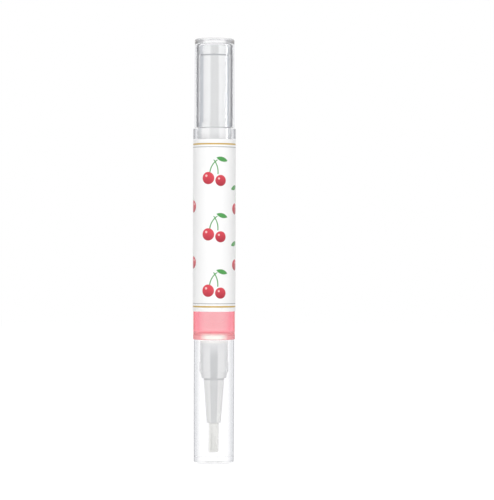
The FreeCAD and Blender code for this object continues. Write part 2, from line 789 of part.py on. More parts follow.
bodies = [
    make_cap(),
    make_bristles(),
    make_bristle_anchor(),
    make_feed_tube(),
    make_nozzle(),
    make_collar(),
    make_gasket(),
    make_barrel(),
    make_label(),
    make_oil(),
    make_piston(),
    make_rod(),
    make_nut(),
    make_sleeve(),
    make_core(),
    make_plug(),
    make_knob(),
]
doc.recompute()

for item in doc.Objects:
    if "Invalid" in item.State or "Error" in item.State:
        raise RuntimeError(f"{item.Label} failed to build: {item.State}")
for body in bodies:
    if body.Shape.isNull() or not body.Shape.isValid() or len(body.Shape.Solids) != 1:
        raise RuntimeError(f"{body.Label} is not one valid solid")

os.makedirs("parts", exist_ok=True)
for body in bodies:
    body.Shape.exportStep(f"parts/{body.Label}.step")
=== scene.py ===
"""Looks of a clear twist-up nail oil pen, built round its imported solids.

The pen stands on the end of its cap with its axis on Z and the front of its label towards -Y. Shapes
are worked out in millimetres in the part's own frame and handed to Blender in metres.
"""

import logging
import math
from dataclasses import dataclass, field
from enum import Enum
from typing import Any, Iterable, Sequence

import bpy
import numpy as np
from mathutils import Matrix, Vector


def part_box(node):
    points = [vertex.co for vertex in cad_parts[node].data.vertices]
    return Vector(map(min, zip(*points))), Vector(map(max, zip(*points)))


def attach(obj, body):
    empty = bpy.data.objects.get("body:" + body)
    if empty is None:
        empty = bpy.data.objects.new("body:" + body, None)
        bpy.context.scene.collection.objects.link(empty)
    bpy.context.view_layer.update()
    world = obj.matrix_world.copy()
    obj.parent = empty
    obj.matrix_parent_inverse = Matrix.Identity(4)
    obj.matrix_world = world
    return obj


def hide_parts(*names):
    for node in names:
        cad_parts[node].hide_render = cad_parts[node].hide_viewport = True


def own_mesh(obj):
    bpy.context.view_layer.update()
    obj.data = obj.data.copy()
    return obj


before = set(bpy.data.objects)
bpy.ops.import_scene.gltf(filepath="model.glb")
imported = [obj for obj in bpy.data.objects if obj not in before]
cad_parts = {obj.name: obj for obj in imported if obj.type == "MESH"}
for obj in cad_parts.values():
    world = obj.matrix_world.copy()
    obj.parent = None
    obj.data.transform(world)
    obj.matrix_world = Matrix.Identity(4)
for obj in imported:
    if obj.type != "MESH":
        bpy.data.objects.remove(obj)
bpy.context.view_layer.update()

MM = 0.001
FULL_TURN = 2.0 * math.pi
PRINT_MAP = "print_mm"
WHITE_LIGHT = "#FFFFFF"

# Points round a turned piece and round a corner, the millimetres from a corner to its guard point, and
# the angle past which an edge is shaded sharp.
RING_STEPS = 192
ARC_STEPS = 8
GUARD = 0.12
SHARP_EDGE = math.radians(32.0)

# The tone of a turned surface is 1 on an outer wall, -1 on a bore and 0 on a flat end. The painted shade of a
# rounded corner starts below the wall's tone, is full at the round tone, and ends over the flat tones.
TONE = "tone"
WALL_TONE = 0.97
ROUND_TONE = 0.8
FLAT_TONE = (0.05, 0.2)

# A layer of colour: the value that it follows, where it starts and is full, its greatest share, its colour.
Layer = tuple[Any, float, float, Any, Any]
# A printed circle: its centre across and up, its radius and the width of its line. A dot has no radius.
Circle = tuple[float, float, float, float]

log = logging.getLogger("oil_pen")


class Body(Enum):
    """The bodies that a new piece can move with."""

    CAP = "cap"
    BARREL = "barrel"
    KNOB = "knob"
    ROD = "rod"


class Slot(Enum):
    """The names of the record's material slots."""

    CLEAR = "clear_plastic"
    NYLON = "nylon"
    WHITE = "white_plastic"
    FILM = "label_film"
    OIL = "oil"


def linear(code: str) -> tuple[float, float, float, float]:
    """Turn an sRGB hex colour into linear light.

    Args:
        code: Six hex digits after a hash sign.

    Returns:
        Linear red, green and blue, and an alpha of 1.
    """
    parts = np.array([int(code[i:i + 2], 16) for i in (1, 3, 5)]) / 255.0
    light = np.where(parts <= 0.04045, parts / 12.92, ((parts + 0.055) / 1.055) ** 2.4)
    return (*(float(x) for x in light), 1.0)


def add(tree: bpy.types.NodeTree, kind: str, inputs: dict | None = None, **settings: Any) -> bpy.types.Node:
    """Add a shader node with its settings, values and links.

    Args:
        tree: The node tree that gets the node.
        kind: The node's type, without its ShaderNode prefix.
        inputs: Socket name or number to a value, a hex colour, a socket, or a node for its first output.
        **settings: Properties of the node itself.

    Returns:
        The new node.
    """
    node = tree.nodes.new("ShaderNode" + kind)
    for name, value in settings.items():
        setattr(node, name, value)
    for key, value in (inputs or {}).items():
        source = value.outputs[0] if isinstance(value, bpy.types.Node) else value
        if isinstance(source, bpy.types.NodeSocket):
            tree.links.new(source, node.inputs[key])
        else:
            node.inputs[key].default_value = linear(source) if isinstance(source, str) else source
    return node


def blank(owner: bpy.types.Material | bpy.types.World) -> bpy.types.NodeTree:
    """Give a material or a world an empty node tree.

    Args:
        owner: The material or world.

    Returns:
        Its node tree.
    """
    owner.use_nodes = True
    owner.node_tree.nodes.clear()
    return owner.node_tree


def layered(tree: bpy.types.NodeTree, colour: Any, layers: Iterable[Layer]) -> Any:
    """Lay colours over a first one.

    Formula: a layer's share runs from 0 to its greatest as its value goes from its start to where it is full.

    Args:
        tree: The material's nodes.
        colour: The colour at the bottom.
        layers: The layers, from the bottom up.

    Returns:
        The mixed colour.
    """
    for value, start, full, most, dye in layers:
        share = add(tree, "MapRange", {"Value": value, "From Min": start, "From Max": full, "To Max": most})
        colour = add(tree, "Mix", {0: share, 6: colour, 7: dye}, data_type="RGBA").outputs[2]
    return colour


def near(tree: bpy.types.NodeTree, value: Any, middle: float, outer: float, inner: float = 0.0,
         **settings: Any) -> bpy.types.Node:
    """Measure how near a value is to a middle.

    Formula: the share runs from 0 to 1 as |value - middle| goes from the outer to the inner distance.

    Args:
        tree: The material's nodes.
        value: The value that is measured.
        middle: The middle that it is measured from.
        outer: Distance at which the share starts.
        inner: Distance at which it is full.
        **settings: Properties of the node that maps the distance.

    Returns:
        The node whose first output is the share.
    """
    off = add(tree, "Math", {0: value, 1: middle}, operation="SUBTRACT")
    off = add(tree, "Math", {0: off}, operation="ABSOLUTE")
    return add(tree, "MapRange", {"Value": off, "From Min": outer, "From Max": inner}, **settings)


def height_in(tree: bpy.types.NodeTree) -> bpy.types.NodeSocket:
    """Give the height of the point that is shaded, in metres."""
    return add(tree, "SeparateXYZ", {0: add(tree, "TexCoord").outputs["Object"]}).outputs[2]


def per_metre(millimetres: float) -> float:
    """Give the texture scale at which a pattern repeats about every so many millimetres."""
    return 1.0 / (millimetres * MM)


def placed(name: str, data: bpy.types.ID) -> bpy.types.Object:
    """Put a mesh, lamp or camera into the scene, at the origin.

    Args:
        name: The object's name.
        data: What it shows.

    Returns:
        The new object.
    """
    thing = bpy.data.objects.new(name, data)
    bpy.context.scene.collection.objects.link(thing)
    return thing


@dataclass(frozen=True)
class Span:
    """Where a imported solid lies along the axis, and its greatest radius, in millimetres."""

    low: float
    high: float
    radius: float

    @classmethod
    def of(cls, node: str) -> "Span":
        """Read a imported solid's span from its box."""
        low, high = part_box(node)
        return cls(low.z / MM, high.z / MM, high.x / MM)


@dataclass
class Surface:
    """A mesh as whole arrays, in millimetres.

    Attributes:
        points: One row of x, y and z for each point.
        faces: Arrays of point numbers, one row for each face.
        uv: Optional row of u and v for each point, in millimetres.
        tone: Optional number for each point, for the finish to read.
    """

    points: np.ndarray
    faces: list[np.ndarray]
    uv: np.ndarray | None = None
    tone: np.ndarray | None = None

    def piece(self, name: str, body: Body, slot: Slot, finish: "Finish", *nodes: str) -> bpy.types.Object:
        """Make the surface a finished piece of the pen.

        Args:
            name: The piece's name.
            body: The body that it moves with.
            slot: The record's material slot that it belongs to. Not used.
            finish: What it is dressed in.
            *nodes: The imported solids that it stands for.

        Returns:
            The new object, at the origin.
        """
        mesh = bpy.data.meshes.new(name)
        rows = [row for block in self.faces for row in block.tolist()]
        mesh.from_pydata((self.points * MM).tolist(), [], rows)
        if self.uv is not None:
            corner = np.empty(len(mesh.loops), dtype=np.int32)
            mesh.loops.foreach_get("vertex_index", corner)
            uv = self.uv[corner].astype(np.float32)
            mesh.uv_layers.new(name=PRINT_MAP).data.foreach_set("uv", uv.ravel())
        if self.tone is not None:
            mark = mesh.attributes.new(TONE, "FLOAT", "POINT")
            mark.data.foreach_set("value", self.tone.astype(np.float32))
        mesh.shade_smooth()
        mesh.set_sharp_from_angle(angle=SHARP_EDGE)
        mesh.materials.append(finish.material())
        piece = placed(name, mesh)
        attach(piece, body.value)
        if nodes:
            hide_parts(*nodes)
        log.info("%s: %d points on body %s", name, len(self.points), body.value)
        return piece


def polar(radius: Any, angle: np.ndarray, height: Any) -> np.ndarray:
    """Place points round the axis.

    Formula: a point is (r cos a, r sin a, z), with the three arrays spread over one grid.

    Args:
        radius: Distances from the axis.
        angle: Angles round it.
        height: Heights along it.

    Returns:
        The grid, with x, y and z in its last place.
    """
    return np.stack(np.broadcast_arrays(radius * np.cos(angle), radius * np.sin(angle), height), axis=-1)


def around(steps: int) -> np.ndarray:
    """Share a full turn into equal angles."""
    return FULL_TURN * np.arange(steps) / steps


def lattice(rows: int, columns: int, ring_rows: bool = False) -> np.ndarray:
    """Join a grid of points with quads, the last column to the first.

    Formula: quad (i, j) joins points (i, j), (i, j+1), (i+1, j+1) and (i+1, j).

    Args:
        rows: Points along the outline.
        columns: Points across it.
        ring_rows: Whether the last row joins the first too.

    Returns:
        One row of four point numbers for each quad.
    """
    i, j = np.meshgrid(np.arange(rows - (not ring_rows)), np.arange(columns), indexing="ij")
    below, right = (i + 1) % rows * columns, (j + 1) % columns
    i = i * columns
    return np.stack([i + j, i + right, below + right, below + j], axis=-1).reshape(-1, 4)


def fans(count: int, steps: int) -> list[np.ndarray]:
    """Close the two ends of a stack of rings with triangles.

    Formula: each side of the first ring joins the point numbered count, and each side of the last ring
    the point after it.

    Args:
        count: Points in the rings.
        steps: Points in each ring.

    Returns:
        Rows of three point numbers, for the first end and the last.
    """
    first = np.arange(steps)
    last = first + count - steps
    return [
        np.stack([np.full(steps, count), np.roll(first, -1), first], axis=1),
        np.stack([last, np.roll(last, -1), np.full(steps, count + 1)], axis=1),
    ]


def softened(corners: Sequence[tuple[float, ...]]) -> np.ndarray:
    """Round an outline's corners and add guard points that keep its straight runs straight when shaded.

    Formula: where two sides meet at an angle 2h, the arc of radius q starts and ends q / tan h from the
    corner, with its centre q / sin h along the bisector, and runs by spherical interpolation between
    its two end radii.

    Args:
        corners: Radius, height and rounding of each corner, in millimetres. An outline that starts on
            the axis also ends there; any other is a closed loop.

    Returns:
        Rows of radius and height along the rounded outline.
    """
    spots = np.array([(*corner, 0.0)[:3] for corner in corners], dtype=float)
    share = np.linspace(0.0, 1.0, ARC_STEPS)[:, None]
    runs = []
    for here, before, after in zip(spots, np.roll(spots, 1, axis=0), np.roll(spots, -1, axis=0)):
        point, rounding = here[:2], here[2]
        if rounding == 0.0:
            runs.append(point[None])
            continue
        back, ahead = before[:2] - point, after[:2] - point
        back, ahead = back / np.linalg.norm(back), ahead / np.linalg.norm(ahead)
        half = 0.5 * math.acos(float(back @ ahead))
        bisector = (back + ahead) / np.linalg.norm(back + ahead)
        centre = point + bisector * rounding / math.sin(half)
        start = point + back * rounding / math.tan(half) - centre
        end = point + ahead * rounding / math.tan(half) - centre
        sweep = math.pi - 2.0 * half
        arc = np.sin((1 - share) * sweep) * start + np.sin(share * sweep) * end
        runs.append(centre + arc / math.sin(sweep))
    outline = np.vstack(runs)
    guarded = []
    for here, after in zip(outline, np.roll(outline, -1, axis=0)):
        guarded.append(here)
        length = float(np.linalg.norm(after - here))
        if length > 4.0 * GUARD and not (here[0] == 0.0 and after[0] == 0.0):
            step = (after - here) * GUARD / length
            guarded += [here + step, after - step]
    return np.array(guarded)


def turned(corners: Sequence[tuple[float, ...]], steps: int = RING_STEPS) -> Surface:
    """Carry a softened outline round the axis.

    Formula: point (i, j) is (r_i cos a_j, r_i sin a_j, z_i), where a_j is the full turn times j / steps.
    The outline runs up outer walls and down inner ones, so faces point out of the material. One that
    starts and ends on the axis closes there in a fan at each end. The tone is the sine of the outline's
    slope.

    Args:
        corners: Radius, height and rounding of each corner of the outline, in millimetres.
        steps: Points round the axis.

    Returns:
        The closed surface.
    """
    outline = softened(corners)
    on_axis = outline[:, 0] == 0.0
    rings = outline[~on_axis]
    points = polar(rings[:, :1], around(steps), rings[:, 1:]).reshape(-1, 3)
    faces = [lattice(len(rings), steps, ring_rows=not on_axis.any())]
    along = np.roll(rings, -1, axis=0) - np.roll(rings, 1, axis=0)
    tone = np.repeat(along[:, 1] / np.linalg.norm(along, axis=1), steps)
    if on_axis.any():
        faces += fans(len(points), steps)
        points = np.vstack([points, [(0.0, 0.0, outline[0, 1]), (0.0, 0.0, outline[-1, 1])]])
        tone = np.append(tone, [0.0, 0.0])
    return Surface(points, faces, tone=tone)


class Finish:
    """A material that is made once and shared by the pieces that it dresses."""

    made: dict[str, bpy.types.Material] = {}
    name: str

    def material(self) -> bpy.types.Material:
        """Make the Blender material the first time, and give it.

        Returns:
            The material of this finish's name.
        """
        if self.name not in Finish.made:
            material = bpy.data.materials.new(self.name)
            tree = blank(material)
            add(tree, "OutputMaterial", self.draw(tree))
            Finish.made[self.name] = material
        return Finish.made[self.name]

    def draw(self, tree: bpy.types.NodeTree) -> dict[str, bpy.types.Node]:
        """Draw the finish's nodes into a tree, and give those that its output takes."""
        raise NotImplementedError

    def dress(self, *nodes: str) -> None:
        """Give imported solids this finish.

        Args:
            *nodes: The solids' names.
        """
        for node in nodes:
            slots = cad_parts[node].data.materials
            slots.clear()
            slots.append(self.material())
            log.info("%s: dressed in %s", node, self.name)


@dataclass(frozen=True)
class Look:
    """How a clear piece is seen, as nodes of its material.

    Attributes:
        tree: The material's nodes.
        facing: Turn of the surface from the eye, from 0 for square on to 1 for along the surface.
        tone: The surface's tone.
        wall: Share that is 1 on an outer wall.
    """

    tree: bpy.types.NodeTree
    facing: bpy.types.NodeSocket
    tone: bpy.types.NodeSocket
    wall: bpy.types.Node

    @classmethod
    def at(cls, tree: bpy.types.NodeTree) -> "Look":
        """Add the nodes that tell how a piece is seen.

        Args:
            tree: The material's nodes.

        Returns:
            The look that they give.
        """
        facing = add(tree, "LayerWeight", {"Blend": 0.5}).outputs["Facing"]
        tone = add(tree, "Attribute", attribute_name=TONE).outputs["Fac"]
        wall = add(tree, "MapRange", {"Value": tone, "From Min": WALL_TONE, "From Max": 1.0})
        return cls(tree, facing, tone, wall)

    def lit(self, clear: bpy.types.Node, last_bounce: float | None = None) -> bpy.types.Node:
        """Show a clear shader to the eye, and let lamp light straight through to what it covers.

        Args:
            clear: The clear shader.
            last_bounce: Inner reflections after which light that is caught in a wall is let out straight.

        Returns:
            The shader that does both.
        """
        rays = add(self.tree, "LightPath").outputs
        passing = [rays["Is Shadow Ray"], rays["Is Diffuse Ray"]]
        if last_bounce is not None:
            limit = {0: rays["Glossy Depth"], 1: last_bounce}
            passing.append(add(self.tree, "Math", limit, operation="GREATER_THAN"))
        straight = passing[0]
        for other in passing[1:]:
            straight = add(self.tree, "Math", {0: straight, 1: other}, operation="MAXIMUM")
        return add(self.tree, "MixShader", {0: straight, 1: clear, 2: add(self.tree, "BsdfTransparent")})


@dataclass(frozen=True)
class ClearMoulded(Finish):
    """Styrene acrylonitrile, injection moulded and polished: glass-clear walls, with grey shade painted at
    their edges for the darker surroundings seen through them.

    Attributes:
        name: The material's name.
        face: Colour of the plastic seen square on.
        side: Colour of the painted shade that an outer wall takes on towards its sides.
        side_turn: Turn from the eye at which that colour starts and is full.
        rim: Colour of the painted shade on its outermost edge, where it is seen along its surface.
        rim_turn: Turn at which that colour starts and is full.
        corner: Colour of the painted shade on its rounded corners.
        ior: Index of refraction.
        flow: Size of the faint moulding waves, in millimetres.
        haze: Greatest roughness that the waves leave.
        last_bounce: Inner reflections after which light that is caught in a wall is let out straight.
    """

    name: str = "clear_san_moulded"
    face: str = "#FDFDFE"
    side: str = "#BBBDC3"
    side_turn: tuple[float, float] = (0.24, 0.5)
    rim: str = "#5C5D63"
    rim_turn: tuple[float, float] = (0.6, 0.74)
    corner: str = "#DCDDE0"
    ior: float = 1.5
    flow: float = 5.0
    haze: float = 0.02
    last_bounce: float = 2.5

    def painted_edge_shade(self, look: Look) -> list[Layer]:
        """List the layers of painted shade that grey an outer wall towards its sides."""
        turns = ((self.side_turn, self.side), (self.rim_turn, self.rim))
        return [(look.facing, *turn, look.wall, colour) for turn, colour in turns]

    def mark(self, look: Look, plastic: bpy.types.Node) -> bpy.types.Node:
        """Leave the plain plastic as it is, with no painted light or shade, where nothing shows within the
        walls.
        """
        return plastic

    def draw(self, tree: bpy.types.NodeTree) -> dict[str, bpy.types.Node]:
        """Draw clear plastic with its painted edge shade, its faint waves and any painted light or shade
        within its walls.

        Args:
            tree: The material's nodes.

        Returns:
            The surface.
        """
        look = Look.at(tree)
        flat, steep = FLAT_TONE
        bent = add(tree, "MapRange", {"Value": look.tone, "From Min": flat, "From Max": steep})
        corner = (look.tone, WALL_TONE, ROUND_TONE, bent, self.corner)
        # Painted shade: the outer wall greys towards its sides and rim, and its rounded corners grey, by
        # their turn from the eye and their tone.
        tint = layered(tree, self.face, [*self.painted_edge_shade(look), corner])
        place = add(tree, "TexCoord").outputs["Object"]
        waves = add(tree, "TexNoise", {"Vector": place, "Scale": per_metre(self.flow), "Detail": 1.0})
        relief = add(tree, "Bump", {"Height": waves, "Strength": 0.01, "Distance": 0.02 * MM})
        haze = add(tree, "MapRange", {"Value": waves, "To Min": 0.0, "To Max": self.haze})
        plastic = add(
            tree, "BsdfPrincipled",
            {"Base Color": tint, "Roughness": haze, "Normal": relief, "IOR": self.ior,
             "Transmission Weight": 1.0},
        )
        return {"Surface": look.lit(self.mark(look, plastic), self.last_bounce)}


@dataclass(frozen=True)
class ClearKnob(ClearMoulded):
    """The same moulded plastic as a thick cup, with painted shade: a dark line down each side of its bore,
    and a grey end.

    Attributes:
        end_side: Painted shade of the solid end towards its sides.
        end_side_turn: Turn from the eye at which that colour starts and is full.
        end_rim: Painted shade of the end's outermost edge.
        end_rim_turn: Turn at which that colour starts and is full.
        floor: Height at which the solid end starts, in millimetres.
        end_drop: How far below the floor the end's painted greys reach, over its rounded corner, in
            millimetres.
        line: Colour of the painted line of shade where the bore starts to reflect everything.
        shade_line_at: Turn of the bore at which the line lies.
        shade_line_width: Half of the line's width on that scale.
    """

    name: str = "clear_san_moulded_lined"
    side: str = "#E6E7EA"
    rim: str = "#C6C7CC"
    corner: str = "#C4C4C6"
    end_side: str = "#8F9093"
    end_side_turn: tuple[float, float] = (0.1, 0.22)
    end_rim: str = "#5E5956"
    end_rim_turn: tuple[float, float] = (0.4, 0.6)
    floor: float = 138.25
    end_drop: float = 0.5
    line: str = "#7C7D82"
    shade_line_at: float = 0.26
    shade_line_width: float = 0.075

    def painted_edge_shade(self, look: Look) -> list[Layer]:
        """List the outer wall's layers of painted shade, with the solid end's own painted greys above the
        floor.

        Args:
            look: How the knob is seen.

        Returns:
            The layers of colour.
        """
        # Painted shade: the solid end greys towards its sides and rim above the floor.
        start = (self.floor - self.end_drop) * MM
        end = add(look.tree, "Math", {0: height_in(look.tree), 1: start}, operation="GREATER_THAN")
        end = add(look.tree, "Math", {0: end, 1: look.wall}, operation="MULTIPLY")
        return [
            *super().painted_edge_shade(look),
            (look.facing, *self.end_side_turn, end, self.end_side),
            (look.facing, *self.end_rim_turn, end, self.end_rim),
        ]

    def mark(self, look: Look, plastic: bpy.types.Node) -> bpy.types.Node:
        """Paint shade as a dark line down the bore, where the plastic starts to mirror its surroundings.

        Args:
            look: How the knob is seen. Its tone is negative on a bore.
            plastic: The plain plastic.

        Returns:
            The plastic with its painted line of shade.
        """
        # Painted shade: a grey diffuse line mixed in on the bore, at one turn from the eye.
        line = near(look.tree, look.facing, self.shade_line_at, self.shade_line_width)
        bore = add(look.tree, "Math", {0: look.tone, 1: -1.0}, operation="MULTIPLY", use_clamp=True)
        line = add(look.tree, "Math", {0: line, 1: bore}, operation="MULTIPLY")
        grey = add(look.tree, "BsdfDiffuse", {"Color": self.line})
        return add(look.tree, "MixShader", {0: line, 1: plastic, 2: grey})


@dataclass(frozen=True)
class ClearBarrel(ClearMoulded):
    """The same moulded plastic with dyed oil behind it: pink edges painted for the oil seen through them, and
    painted light that glows in the middle of the end wall.

    Attributes:
        oil_side: Painted colour of the wall's sides, standing in for the oil seen through it.
        oil_rim: Painted colour of its outermost edge there.
        oil_top: Height at which the wall turns from pink to grey, behind the film, in millimetres.
        glow: Colour of the painted light in the middle of the end wall.
        blush: Colour of the painted light towards its sides.
        blush_turn: Turn from the eye at which the blush starts and is full.
        gathered: Greatest share of the painted light in the end wall.
        lit_tone: Tone at which the painted light is full.
        floor: Height of the chamber's floor, in millimetres.
        rise: How far above the floor the end wall's painted light reaches, in millimetres.
    """

    name: str = "clear_san_moulded_oil_side"
    rim_turn: tuple[float, float] = (0.5, 0.66)
    oil_side: str = "#FFE8EB"
    oil_rim: str = "#EE6A77"
    oil_top: float = 70.0
    glow: str = "#FFFFF8"
    blush: str = "#FFACB2"
    blush_turn: tuple[float, float] = (0.06, 0.26)
    gathered: float = 0.88
    lit_tone: float = 0.5
    floor: float = 41.65
    rise: float = 1.4

    def painted_edge_shade(self, look: Look) -> list[Layer]:
        """List the outer wall's layers of painted edge colour, pink below the oil's top and grey shade above
        it.

        Args:
            look: How the barrel is seen.

        Returns:
            The layers of colour.
        """
        # Painted colour: pink at the wall's sides below the oil's top for the oil seen through it, grey shade
        # above it.
        upper = {0: height_in(look.tree), 1: self.oil_top * MM}
        upper = add(look.tree, "Math", upper, operation="GREATER_THAN")
        return [
            (*reach, layered(look.tree, pink, [(upper, 0.0, 1.0, 1.0, grey)]))
            for pink, (*reach, grey) in zip((self.oil_side, self.oil_rim), super().painted_edge_shade(look))
        ]

    def mark(self, look: Look, plastic: bpy.types.Node) -> bpy.types.Node:
        """Paint light into the end wall, as a pale glow mixed over the plastic.

        Args:
            look: How the barrel is seen. Its tone is positive on an outer wall.
            plastic: The plain plastic.

        Returns:
            The plastic with its painted light.
        """
        # Painted light: a pale diffuse glow on the outer wall, full at and below the chamber's floor and
        # fading over the rise, pinker towards its sides.
        foot, top = self.floor * MM, (self.floor + self.rise) * MM
        end = add(
            look.tree, "MapRange",
            {"Value": height_in(look.tree), "From Min": top, "From Max": foot, "To Max": self.gathered},
            interpolation_type="SMOOTHSTEP",
        )
        wall = add(look.tree, "MapRange", {"Value": look.tone, "From Max": self.lit_tone})
        end = add(look.tree, "Math", {0: end, 1: wall}, operation="MULTIPLY")
        light = layered(look.tree, self.glow, [(look.facing, *self.blush_turn, 1.0, self.blush)])
        painted_glow = add(look.tree, "BsdfDiffuse", {"Color": light})
        return add(look.tree, "MixShader", {0: end, 1: plastic, 2: painted_glow})


@dataclass(frozen=True)
class TintedOil(Finish):
    """Light plant oil, dyed pink: clear, deeper in colour where the eye looks through more of it, and painted
    a deeper pink towards its sides as shade.

    Attributes:
        name: The material's name.
        side: Colour of the painted shade that the column takes on towards its sides.
        side_turn: Turn from the eye at which that colour starts and is full.
        rim: Colour of the painted shade on its outermost edge.
        rim_turn: Turn at which that colour starts and is full.
        foot: Colour of its rounded foot.
        dye: Colour that the liquid lets through.
        strength: How strongly it absorbs, per metre.
        ior: Index of refraction.
    """

    name: str = "pink_plant_oil"
    side: str = "#FFA9BE"
    side_turn: tuple[float, float] = (0.03, 0.2)
    rim: str = "#F8858D"
    rim_turn: tuple[float, float] = (0.3, 0.4)
    foot: str = "#FFD6DC"
    dye: str = "#FF506F"
    strength: float = 80.0
    ior: float = 1.46

    def draw(self, tree: bpy.types.NodeTree) -> dict[str, bpy.types.Node]:
        """Draw a clear liquid with dye in its depth and painted shade at its sides.

        Args:
            tree: The material's nodes.

        Returns:
            The surface and the depth.
        """
        look = Look.at(tree)
        # Painted shade: the column is painted a deeper pink towards its sides and rim, by their turn from the
        # eye; its foot and top keep a pale pink.
        tint = layered(tree, self.foot, [
            (look.wall, 0.0, 1.0, 1.0, WHITE_LIGHT),
            (look.facing, *self.side_turn, look.wall, self.side),
            (look.facing, *self.rim_turn, look.wall, self.rim),
        ])
        liquid = add(
            tree, "BsdfPrincipled",
            {"Base Color": tint, "Roughness": 0.0, "IOR": self.ior, "Transmission Weight": 1.0},
        )
        depth = add(tree, "VolumeAbsorption", {"Color": self.dye, "Density": self.strength})
        return {"Surface": look.lit(liquid), "Volume": depth}


@dataclass(frozen=True)
class SatinMoulded(Finish):
    """Thermoplastic from a spark-textured mould: satin and faintly grained, with painted light on its milky
    sides and a painted colour at its edge.

    Attributes:
        name: The material's name.
        colour: Colour seen square on, darker as painted shade where the eye looks into the hollow behind the
            wall.
        side: Painted light: colour towards its sides and on flat ends, lighter where light comes through the
            wall.
        edge: Colour painted on its outermost edge: painted shade where it is darker than the sides, painted
            light where it is lighter.
        side_from: Turn from the eye at which the lighter side starts.
        side_width: How much further it is full.
        edge_from: Turn at which the edge starts.
        edge_width: How much further it is full.
        flat: Upright part of the normal at which a flat end starts and is full, where it takes the painted
            side colour.
        density: Least and greatest share of its colour, as the plastic's density drifts.
        drift: Size of those drifts in millimetres.
        roughness: Middle of its roughness.
        unevenness: How far the grain takes the roughness from its middle.
        grain: Size of the mould's grain in millimetres, drawn coarser than the real one so that it shows.
        ior: Index of refraction.
        bands: Height, half width and colour of each soft band across it: painted shade under or at a joint,
            painted light where a glow falls.
    """

    name: str
    colour: str
    side: str
    edge: str
    side_from: float = 0.02
    side_width: float = 0.04
    edge_from: float = 0.36
    edge_width: float = 0.12
    flat: tuple[float, float] = (0.85, 1.0)
    density: tuple[float, float] = (0.96, 1.02)
    drift: float = 4.0
    roughness: float = 0.32
    unevenness: float = 0.06
    grain: float = 0.25
    ior: float = 1.49
    bands: tuple[tuple[float, float, str], ...] = ()

    def draw(self, tree: bpy.types.NodeTree) -> dict[str, bpy.types.Node]:
        """Draw satin plastic with moulded grain, slow drifts of density, its painted lighter sides and edge,
        and its painted bands of light and shade.

        Its sides are told from its middle by the level part of its normal, so a cone shades as a wall does.

        Args:
            tree: The material's nodes.

        Returns:
            The surface.
        """
        place = add(tree, "TexCoord").outputs["Object"]
        drift, grain = (
            add(tree, "TexNoise", {"Vector": place, "Scale": per_metre(size), "Detail": 2.0})
            for size in (self.drift, self.grain)
        )
        normal = add(tree, "NewGeometry").outputs["Normal"]
        level = add(tree, "VectorMath", {0: normal, 1: (1.0, 1.0, 0.0)}, operation="MULTIPLY")
        level = add(tree, "VectorMath", {0: level}, operation="NORMALIZE")
        facing = add(tree, "LayerWeight", {"Blend": 0.5, "Normal": level}).outputs["Facing"]
        end = add(tree, "Math", {0: add(tree, "SeparateXYZ", {0: normal}).outputs[2]}, operation="ABSOLUTE")
        height = height_in(tree)
        bands = [
            (near(tree, height, middle * MM, half * MM, interpolation_type="SMOOTHSTEP"), 0.0, 1.0, 1.0, tint)
            for middle, half, tint in self.bands
        ]
        # Painted light and shade: sides and flat ends lighter than the middle, a painted edge colour, and the
        # painted bands.
        colour = layered(tree, self.colour, [
            (facing, self.side_from, self.side_from + self.side_width, 1.0, self.side),
            (facing, self.edge_from, self.edge_from + self.edge_width, 1.0, self.edge),
            (end, *self.flat, 1.0, self.side),
            *bands,
        ])
        thin, dense = self.density
        density = add(tree, "MapRange", {"Value": drift, "To Min": thin, "To Max": dense})
        colour = add(tree, "VectorMath", {0: colour, "Scale": density}, operation="SCALE")
        smooth, rough = self.roughness - self.unevenness, self.roughness + self.unevenness
        gloss = add(tree, "MapRange", {"Value": grain, "To Min": smooth, "To Max": rough})
        relief = add(tree, "Bump", {"Height": grain, "Strength": 0.2, "Distance": 0.01 * MM})
        return {"Surface": add(
            tree, "BsdfPrincipled",
            {"Base Color": colour, "Roughness": gloss, "Normal": relief, "IOR": self.ior},
        )}


@dataclass(frozen=True)
class DrawnNylon(Finish):
    """Nylon monofilament, drawn and cut: pale satin hairs, each a little lighter or darker than the next.

    Attributes:
        name: The material's name.
        dark: Colour of the darkest hairs.
        light: Colour of the lightest hairs.
        roughness: Roughness of the darkest hairs and of the lightest.
        ior: Index of refraction.
        sheen: Weight of the soft sheen that fine hairs have together.
    """

    name: str = "nylon_monofilament"
    dark: str = "#F2F2EF"
    light: str = "#FFFFFC"
    roughness: tuple[float, float] = (0.42, 0.28)
    ior: float = 1.53
    sheen: float = 0.4

    def draw(self, tree: bpy.types.NodeTree) -> dict[str, bpy.types.Node]:
        """Draw filaments from the tone that each one carries.

        Args:
            tree: The material's nodes.

        Returns:
            The surface.
        """
        tone = add(tree, "Attribute", attribute_name=TONE).outputs["Fac"]
        colour = layered(tree, self.dark, [(tone, 0.0, 1.0, 1.0, self.light)])
        dull, bright = self.roughness
        gloss = add(tree, "MapRange", {"Value": tone, "To Min": dull, "To Max": bright})
        return {"Surface": add(
            tree, "BsdfPrincipled",
            {"Base Color": colour, "Roughness": gloss, "IOR": self.ior, "Sheen Weight": self.sheen},
        )}


